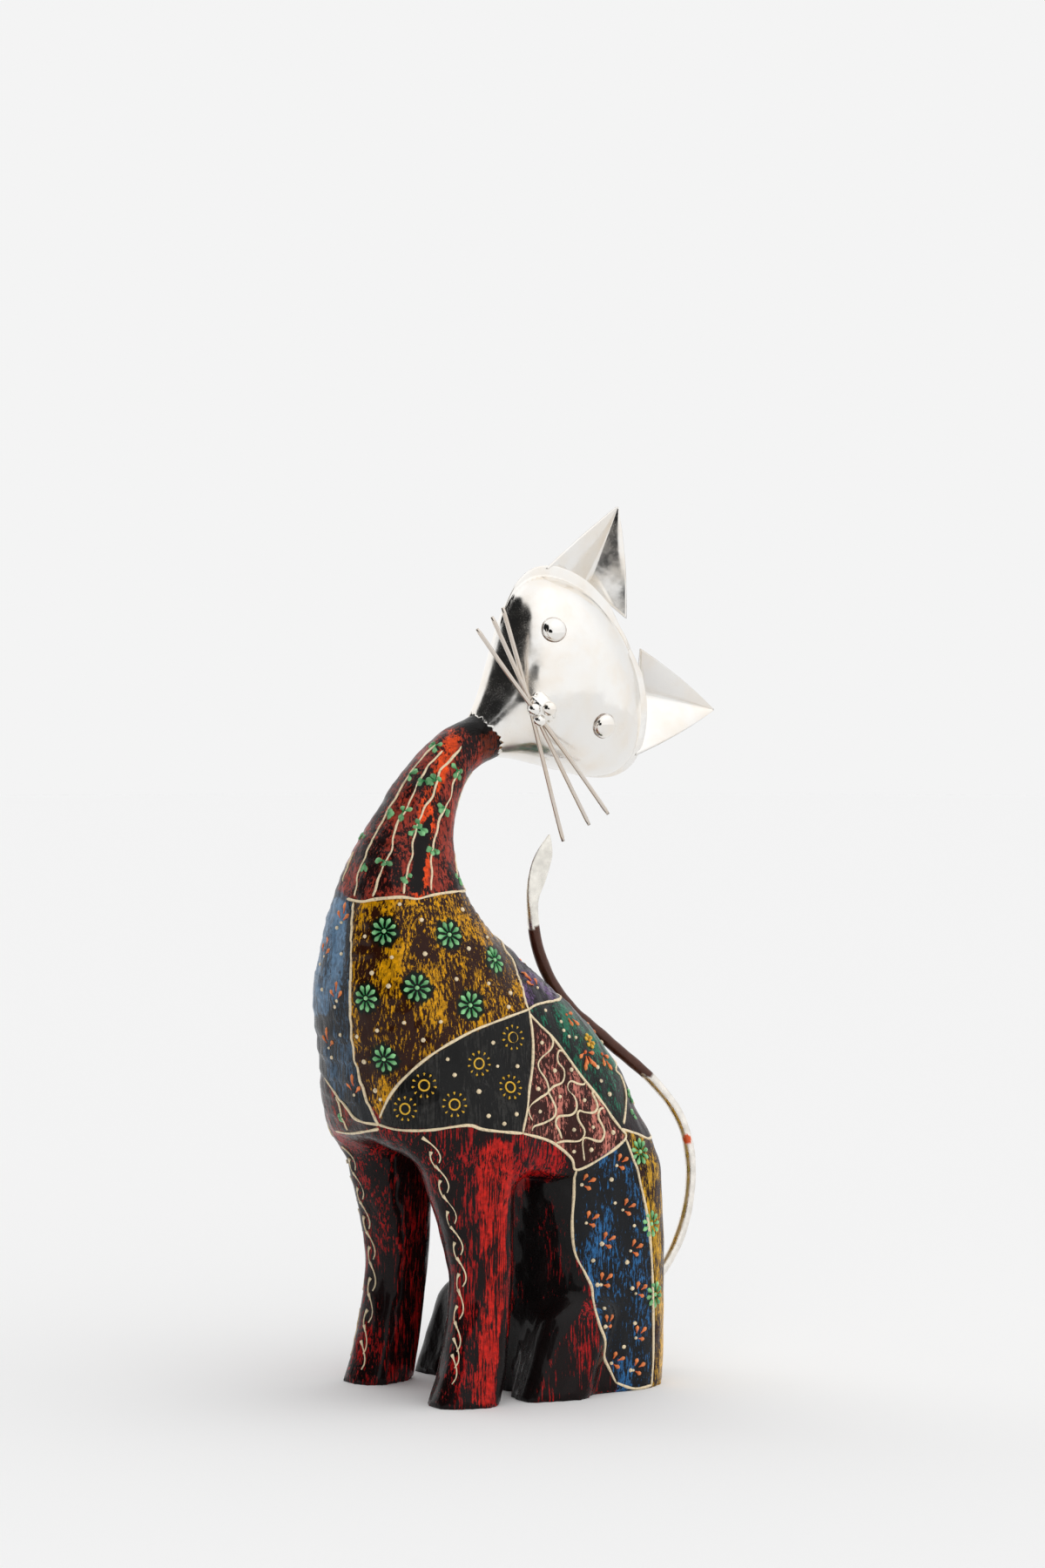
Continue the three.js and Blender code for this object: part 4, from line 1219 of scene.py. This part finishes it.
# Rows lie closer together towards the head's top by this power
ROW_CROWDING = 1.35
COLLAR_RADIUS, COLLAR_HEIGHT, COLLAR_JAG, COLLAR_DEPTH = 9, 6, 0.9, 5
SHEET = 0.8
RIM_THICKNESS, RIM_SQUARENESS, RIM_FILLET, LEAST_FILLET = 0.8, 30, 2.4, 0.05
# The end of the dome above its last station, as up, half width, front and back
DOME_END = (69.6, 4, 1, 0.8)


def head_outline(up):
    """Half width, front and back of the dome, and half width with its rim, at heights up the head."""
    stations = stations_at(np.vstack([HEAD, DOME_END]), np.linspace(0, 1, 400))
    fine = [np.interp(up, stations[:, 0], stations[:, k]) for k in (1, 2, 3)]
    grown = RIM_WIDTH * smoothstep(stations[:, 0], RIM_START_UP, RIM_FULL_UP)
    cut = stations[:, 0] <= HEAD[-1, 0]
    rim = np.interp(up, (stations[:, 0] + grown)[cut], (stations[:, 1] + grown)[cut])
    return *fine, rim


def head_skin(up, angle):
    """Height, left and out of the head's points, for rows up it and angles round it."""
    collar = COLLAR_RADIUS * np.column_stack([np.cos(angle), np.sin(angle), np.zeros(len(angle))])
    jag = COLLAR_JAG * (waves(collar, 9, 11) + 0.5 * waves(collar, 2.6, 12))
    height = up + jag * np.maximum(0, 1 - up / COLLAR_HEIGHT)
    width, front, back, rim = head_outline(height)
    share = np.cos(angle)
    left = rim * share
    dome = np.sqrt(np.maximum(1 - (left / width) ** 2, 0)) * np.where(np.sin(angle) > 0, front, back)
    plate = RIM_THICKNESS * np.sqrt(np.maximum(1 - np.abs(share) ** RIM_SQUARENESS, 0))
    fillet = LEAST_FILLET + RIM_FILLET * smoothstep(up, RIM_START_UP, RIM_FULL_UP)
    out = np.where(rim > width + 0.01, smooth_max(dome, plate, fillet), dome)
    out = np.where(np.abs(share) > 0.9999, 0, out) * np.sign(np.sin(angle) + 1e-12)
    return height, left, out


def head_piece():
    top = HEAD[-1, 0] + RIM_WIDTH
    up = top * (1 - (1 - np.linspace(0, 1, HEAD_ROWS)) ** ROW_CROWDING)[:, None]
    height, left, out = head_skin(up, np.arange(HEAD_COLUMNS) * 2 * math.pi / HEAD_COLUMNS)
    spots = on_head(height, left, out)
    wander = 0.22 * waves(spots, 24, 21) + 0.05 * waves(spots, 9, 22)
    wander = wander * np.sign(out) * smoothstep(np.abs(out), 1, 6)
    spots = spots + wander[..., None] * HEAD_OUT
    within = 1 - SHEET / COLLAR_RADIUS
    inner = [on_head(height[0] + depth, left[0] * within, out[0] * within) for depth in (COLLAR_DEPTH, 0)]
    points = np.concatenate([inner, spots]).reshape(-1, 3)
    faces = grid_faces(HEAD_ROWS + len(inner), HEAD_COLUMNS, closed=True)
    faces.append(tuple(range(len(points) - HEAD_COLUMNS, len(points))))
    faces.append(tuple(reversed(range(HEAD_COLUMNS))))
    made = outward(piece("head_sheet", points, faces))
    collar = 0.30 * np.exp(-((height / 2.5) ** 2))
    seam = 0.55 * np.exp(-((out / 1.1) ** 2)) * (1 - smoothstep(height, 22, 44)) * (left > 0)
    inside = np.full((len(inner), HEAD_COLUMNS), 0.3)
    weigh_points(made, "tarnish_and_shade", np.concatenate([inside, np.maximum(collar, seam)]).ravel())
    return made


# Ears of folded sheet, with slightly bowed edges

EAR_SPAN, EAR_LENGTH = 40, 48
EAR_THICKNESS = 1.0
# How far the edges bow, the two faces crown and the whole ear bends, and how far out its tip leans
EAR_BOW, EAR_CROWN, EAR_BEND, EAR_TIP_OUT = 0.8, 0.4, 3.2, -2.2
# The share of the way to the tip at which the sheet is cut
EAR_CUT = 0.985


def ear_sheet():
    """The ear as rows of up, left and out on the head, from its foot to its tip."""
    edge = EAR["edge_out"]
    base = np.array([(*EAR["outer"], edge), (*EAR["fold"], EAR["fold_out"]), (*EAR["inner"], edge)], float)
    tip = np.array((*EAR["tip"], EAR_TIP_OUT))
    across = np.linspace(0, 2, EAR_SPAN)
    foot = np.stack([np.interp(across, (0, 1, 2), base[:, k]) for k in range(3)], axis=1)
    reach = np.linspace(0, EAR_CUT, EAR_LENGTH)[:, None]
    bow = EAR_BOW * np.sin(math.pi * reach) * np.abs(across - 1) ** 2 * np.sign(1 - across)
    sheet = foot + (tip - foot) * reach[..., None] + bow[..., None] * unit(base[0] - base[2])
    crown = EAR_CROWN * np.sin(math.pi * reach) * np.sin(math.pi * (across % 1.0001))
    bend = EAR_BEND * (1 - (1 - reach) ** 2 - 0.5)
    sheet[..., 2] += crown + bend + 0.07 * waves(sheet, 15, 31)
    return sheet


def border_of(rows, columns):
    """The numbers of a grid's points round its edge, in turn."""
    grid = np.arange(rows * columns).reshape(rows, columns)
    return [*grid[0], *grid[1:, -1], *grid[-1, -2::-1], *grid[-2:0:-1, 0]]


def ear_piece(name, side):
    up, left, out = np.moveaxis(ear_sheet(), -1, 0)
    layers = [on_head(up, side * left, out - depth).reshape(-1, 3) for depth in (0, EAR_THICKNESS)]
    count = EAR_SPAN * EAR_LENGTH
    faces = grid_faces(EAR_LENGTH, EAR_SPAN)
    faces += [tuple(i + count for i in face[::-1]) for face in faces]
    border = border_of(EAR_LENGTH, EAR_SPAN)
    for a, b in zip(border, border[1:] + border[:1]):
        faces.append((b, a, a + count, b + count))
    made = outward(piece(name, np.concatenate(layers), faces))
    weigh_points(made, "tarnish_and_shade", np.zeros(2 * count))
    return made


# Eyes, nose and whiskers

LATHE_SEGMENTS = 48
# The foot of an eye, as radii past the dome's own and heights above its seat
EYE_FOOT = [(-0.2, -0.8), (0.3, -0.1), (0.05, 0.15)]
EYE_ROWS = 14
BALL_ROWS, BALL_COLUMNS = 20, 28
MUZZLE_ROUGHNESS, BEAD_ROUGHNESS = 0.12, 0.01
# The eyes' feet are painted brown and darker, as painted shade where they meet the head; the muzzle is
# faintly tarnished
PAINTED_FOOT_SHADE, TARNISHED_MUZZLE = 0.6, 0.05
# Polar angle at which round forms start, so that they close with a small face and not in a point
NEAR_POLE = 0.02


def lathe(name, place, way, profile):
    """A turned form: its profile is radii and heights along a way from a place."""
    side = unit(np.cross(way, (0.3, 0.2, 1.0)))
    other = np.cross(way, side)
    angle = np.arange(LATHE_SEGMENTS)[:, None] * 2 * math.pi / LATHE_SEGMENTS
    ring = side * np.cos(angle) + other * np.sin(angle)
    rows = np.array([place + radius * ring + height * way for radius, height in profile])
    return outward(piece(name, rows.reshape(-1, 3), capped_faces(len(rows), LATHE_SEGMENTS)))


def face_place(up, left):
    width, front, _, _ = head_outline(np.array(up, float))
    return on_head(up, left, front * math.sqrt(max(0, 1 - (left / width) ** 2)))


def eye_piece(name, side):
    left = FACE_SHIFT + side * EYE["left"]
    along_up = face_place(EYE["up"] + 1, left) - face_place(EYE["up"] - 1, left)
    along_left = face_place(EYE["up"], left + 1) - face_place(EYE["up"], left - 1)
    way = unit(np.cross(along_left, along_up))
    turns = np.linspace(math.pi / 2, 0.03, EYE_ROWS)
    foot = [(EYE["radius"] + radius, height) for radius, height in EYE_FOOT]
    dome = [(EYE["radius"] * math.sin(t), EYE["height"] * math.cos(t)) for t in turns]
    made = lathe(name, face_place(EYE["up"], left) + GAP * way, way, foot + dome)
    # The foot ring is painted brown and darker, as painted shade where the eye sits on the head
    on_foot = np.arange(len(made.data.vertices)) < len(foot) * LATHE_SEGMENTS
    weigh_points(made, "tarnish_and_shade", PAINTED_FOOT_SHADE * on_foot)
    return made


def ball(centre, radius, stretch, rough):
    """Points of a ball, stretched along the head's left, with a ragged skin."""
    polar = np.linspace(NEAR_POLE, math.pi - NEAR_POLE, BALL_ROWS)[:, None]
    turn = np.arange(BALL_COLUMNS) * 2 * math.pi / BALL_COLUMNS
    ways = np.sin(polar) * np.array([np.ones(BALL_COLUMNS), np.cos(turn), np.sin(turn)])[:, None]
    ways[0] = np.cos(polar)
    ways = ways.reshape(3, -1).T
    ragged = waves(ways * radius, 3.2, 41) + 0.5 * waves(ways * radius, 1.3, 42)
    up, left, out = (ways * radius * (1 + rough * ragged)[:, None]).T
    return on_head(centre[0] + up, centre[1] + left * stretch, centre[2] + out)


def muzzle_piece():
    blob = (MUZZLE["up"], FACE_SHIFT, MUZZLE["out"])
    parts = [ball(blob, MUZZLE["radius"], MUZZLE["stretch"], MUZZLE_ROUGHNESS)]
    for up, left, out, radius in BEADS:
        parts.append(ball((up, FACE_SHIFT + left, out), radius, 1, BEAD_ROUGHNESS))
    one = capped_faces(BALL_ROWS, BALL_COLUMNS)
    count = BALL_ROWS * BALL_COLUMNS
    faces = [tuple(i + k * count for i in face) for k in range(len(parts)) for face in one]
    made = outward(piece("muzzle_solder", np.concatenate(parts), faces))
    weigh_points(made, "tarnish_and_shade", np.full(count * len(parts), TARNISHED_MUZZLE))
    return made


def tube(name, line, half, flat, sides, flat_way):
    """A bar along a line, oval where its half width and half thickness differ."""
    along = unit(np.gradient(line, axis=0))
    wide = unit(np.cross(along, flat_way))
    thin = np.cross(wide, along)
    angle = np.arange(sides)[:, None] * 2 * math.pi / sides
    half, flat = (np.broadcast_to(value, len(line))[:, None, None] for value in (half, flat))
    rows = line[:, None] + wide[:, None] * half * np.cos(angle) + thin[:, None] * flat * np.sin(angle)
    return outward(piece(name, rows.reshape(-1, 3), capped_faces(len(line), sides)))


WHISKER_ROWS, WHISKER_SIDES = 40, 20
# How far a whisker sways from straight, up and out, and what is left of its radius at its cut ends
SWAY_UP, SWAY_OUT, CUT_END = 0.35, 0.25, 0.75


def whisker_piece(index):
    name, right_up, left_up = WHISKERS[index]
    share = np.linspace(0, 1, WHISKER_ROWS)
    up = right_up + (left_up - right_up) * share + SWAY_UP * np.sin(share * 5 + index * 2)
    left = WHISKER_REACH * (2 * share - 1)
    line = on_head(up, left, whisker_out(index) + SWAY_OUT * np.sin(share * 4 + index))
    half = np.full(len(share), WHISKER_RADIUS)
    half[[0, -1]] *= CUT_END
    made = tube("whisker_wire_" + name, line, half, half, WHISKER_SIDES, HEAD_OUT)
    weigh_points(made, "tarnish_and_shade", np.zeros(len(made.data.vertices)))
    return made


# The tail: a rod, bare and bright below, browned above, and beaten to a leaf at its end

TAIL_ROWS, TAIL_SIDES = 260, 28
TAIL_SILVER, TAIL_BROWN, TAIL_LEAF = (0.86, 0.82, 0.76), (0.075, 0.020, 0.008), (0.88, 0.85, 0.78)
# The share of the rod past which it is browned or beaten, and the heights between which it is brown
TAIL_UPPER_FROM = 0.45
TAIL_BROWN_FROM, TAIL_BROWN_TO = 110, 166
TAIL_DROP = dict(place=(-0.2, 81.5, 84.8), radius=1.8, tint=(0.72, 0.10, 0.02))


def tail_piece():
    stations = stations_at(TAIL, np.linspace(0, 1, TAIL_ROWS))
    line, half, flat = stations[:, :3], stations[:, 3], stations[:, 4]
    uneven = 1 + 0.05 * waves(line, 8, 51)
    made = tube("tail_rod", line, half * uneven, flat * uneven, TAIL_SIDES, (1.0, 0, 0))
    points = np.array([vertex.co for vertex in made.data.vertices]) / MM - SHIFT
    row = np.repeat(np.arange(TAIL_ROWS), TAIL_SIDES)
    ragged = points[:, 2] + 3.5 * waves(points, 7, 52) + 1.5 * waves(points, 2.5, 53)
    upper = row > TAIL_ROWS * TAIL_UPPER_FROM
    brown = upper & (ragged > TAIL_BROWN_FROM) & (ragged < TAIL_BROWN_TO)
    leaf = upper & (ragged >= TAIL_BROWN_TO)
    tint = np.where(brown[:, None], TAIL_BROWN, np.where(leaf[:, None], TAIL_LEAF, TAIL_SILVER))
    drop = np.linalg.norm(points - TAIL_DROP["place"], axis=1) < TAIL_DROP["radius"]
    tint[drop] = TAIL_DROP["tint"]
    colour_points(made, "tint", tint)
    weigh_points(made, "painted", brown | drop)
    return made


# The studio: a pale floor, soft even light, and dark flags in it for the metal to mirror

LIGHT_LEVEL, LEAST_LIGHT, BACKDROP = 0.92, 0.015, 0.905
# Patches of light and, below zero, of shade: azimuth and elevation in degrees, the cosines between which
# each grows to its full amount, and that amount
LIGHT_PATCHES = [
    ((118, 22), 0.15, 0.80, 0.14),
    ((-75, 12), 0.60, 0.88, 0.16),
    ((60, 90), 0.20, 0.95, 0.20),
    ((4, 24), 0.865, 0.925, -1.8),
    ((-30, 28), 0.910, 0.955, -1.8),
    ((46, 5), 0.955, 0.975, -1.8),
]


def light_strength(nodes, way):
    """Even light with its patches, over the ways that the light comes from."""
    strength = LIGHT_LEVEL
    for (azimuth, elevation), low, high, amount in LIGHT_PATCHES:
        nearness = nodes.node("VectorMath", operation="DOT_PRODUCT")
        nodes.feed(nearness.inputs[0], way)
        nodes.feed(nearness.inputs[1], view_way(math.radians(azimuth), math.radians(elevation)))
        patch = nodes.ramp(nearness.outputs["Value"], low, high, 0, amount)
        strength = nodes.math("ADD", patch, strength)
    return nodes.math("MAXIMUM", strength, LEAST_LIGHT)


def studio_light():
    """White light for the object, and a plain backdrop for the camera."""
    world = bpy.data.worlds.new("studio")
    bpy.context.scene.world = world
    world.use_nodes = True
    world.node_tree.nodes.clear()
    nodes = Nodes(world.node_tree)
    lit, plain, chosen = (nodes.node(kind) for kind in ("Background", "Background", "MixShader"))
    nodes.feed(lit.inputs["Color"], (1, 1, 1))
    nodes.feed(plain.inputs["Color"], (BACKDROP, BACKDROP, BACKDROP))
    nodes.feed(lit.inputs["Strength"], light_strength(nodes, nodes.node("TexCoord").outputs["Generated"]))
    ways = (nodes.node("LightPath").outputs["Is Camera Ray"], lit.outputs[0], plain.outputs[0])
    for socket, value in zip(chosen.inputs, ways):
        nodes.feed(socket, value)
    nodes.feed(nodes.node("OutputWorld").inputs[0], chosen.outputs[0])


# In metres
FLOOR_RADIUS, CLIP_END = 4.0, 50
FLOOR_GREY = 0.92
SENSOR_SIZE = 36


def floor_piece():
    made = bmesh.new()
    bmesh.ops.create_circle(made, cap_ends=True, radius=FLOOR_RADIUS, segments=96)
    mesh = bpy.data.meshes.new("floor")
    made.to_mesh(mesh)
    made.free()
    floor = bpy.data.objects.new("floor", mesh)
    bpy.context.collection.objects.link(floor)
    s = Shader("floor_paper")
    s.set(Base_Color=(FLOOR_GREY, FLOOR_GREY, FLOOR_GREY), Roughness=0.9, Specular_IOR_Level=0.0)
    floor.data.materials.append(s.material)
    return floor


def camera():
    data = bpy.data.cameras.new("camera")
    data.sensor_width = SENSOR_SIZE
    data.lens = FOCAL_PX * SENSOR_SIZE / PHOTO_HEIGHT
    data.clip_end = CLIP_END
    made = bpy.data.objects.new("camera", data)
    axes = Matrix((RIGHT, UPWARD, BACK)).transposed().to_4x4()
    made.matrix_world = Matrix.Translation(Vector((CAMERA_PLACE + SHIFT) * MM)) @ axes
    bpy.context.collection.objects.link(made)
    bpy.context.scene.camera = made


# Putting it together

SIDES = (("left", 1), ("right", -1))


def dress(made, finish, slot, *nodes):
    made.data.materials.append(finish)
    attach(made, "root")
    if nodes:
        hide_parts(*nodes)


sheet_metal = bright_metal("bright_sheet", METAL, 0.11, 0.16)
chrome = bright_metal("bright_fittings", METAL, 0.04, 0.06)
wire = bright_metal("drawn_wire", WIRE, 0.09, 0.1, hammering=0)
dress(body_piece(), painted_wood(), "painted_wood", "body")
raised = raised_paint()
for work in (lay_seams(), lay_vines(), lay_flowers()):
    dress(work, raised, "painted_wood")
dress(head_piece(), sheet_metal, "bright_metal", "head")
for side, way in SIDES:
    dress(ear_piece("ear_sheet_" + side, way), sheet_metal, "bright_metal", "ear_" + side)
for side, way in SIDES:
    dress(eye_piece("eye_dome_" + side, way), chrome, "bright_metal", "eye_" + side)
dress(muzzle_piece(), chrome, "bright_metal", "muzzle")
for i, (name, _, _) in enumerate(WHISKERS):
    dress(whisker_piece(i), wire, "bright_metal", "whisker_" + name)
dress(tail_piece(), tail_metal(), "tail_metal", "tail")

studio_light()
floor_piece()
camera()
bpy.context.scene.view_settings.view_transform = "Standard"
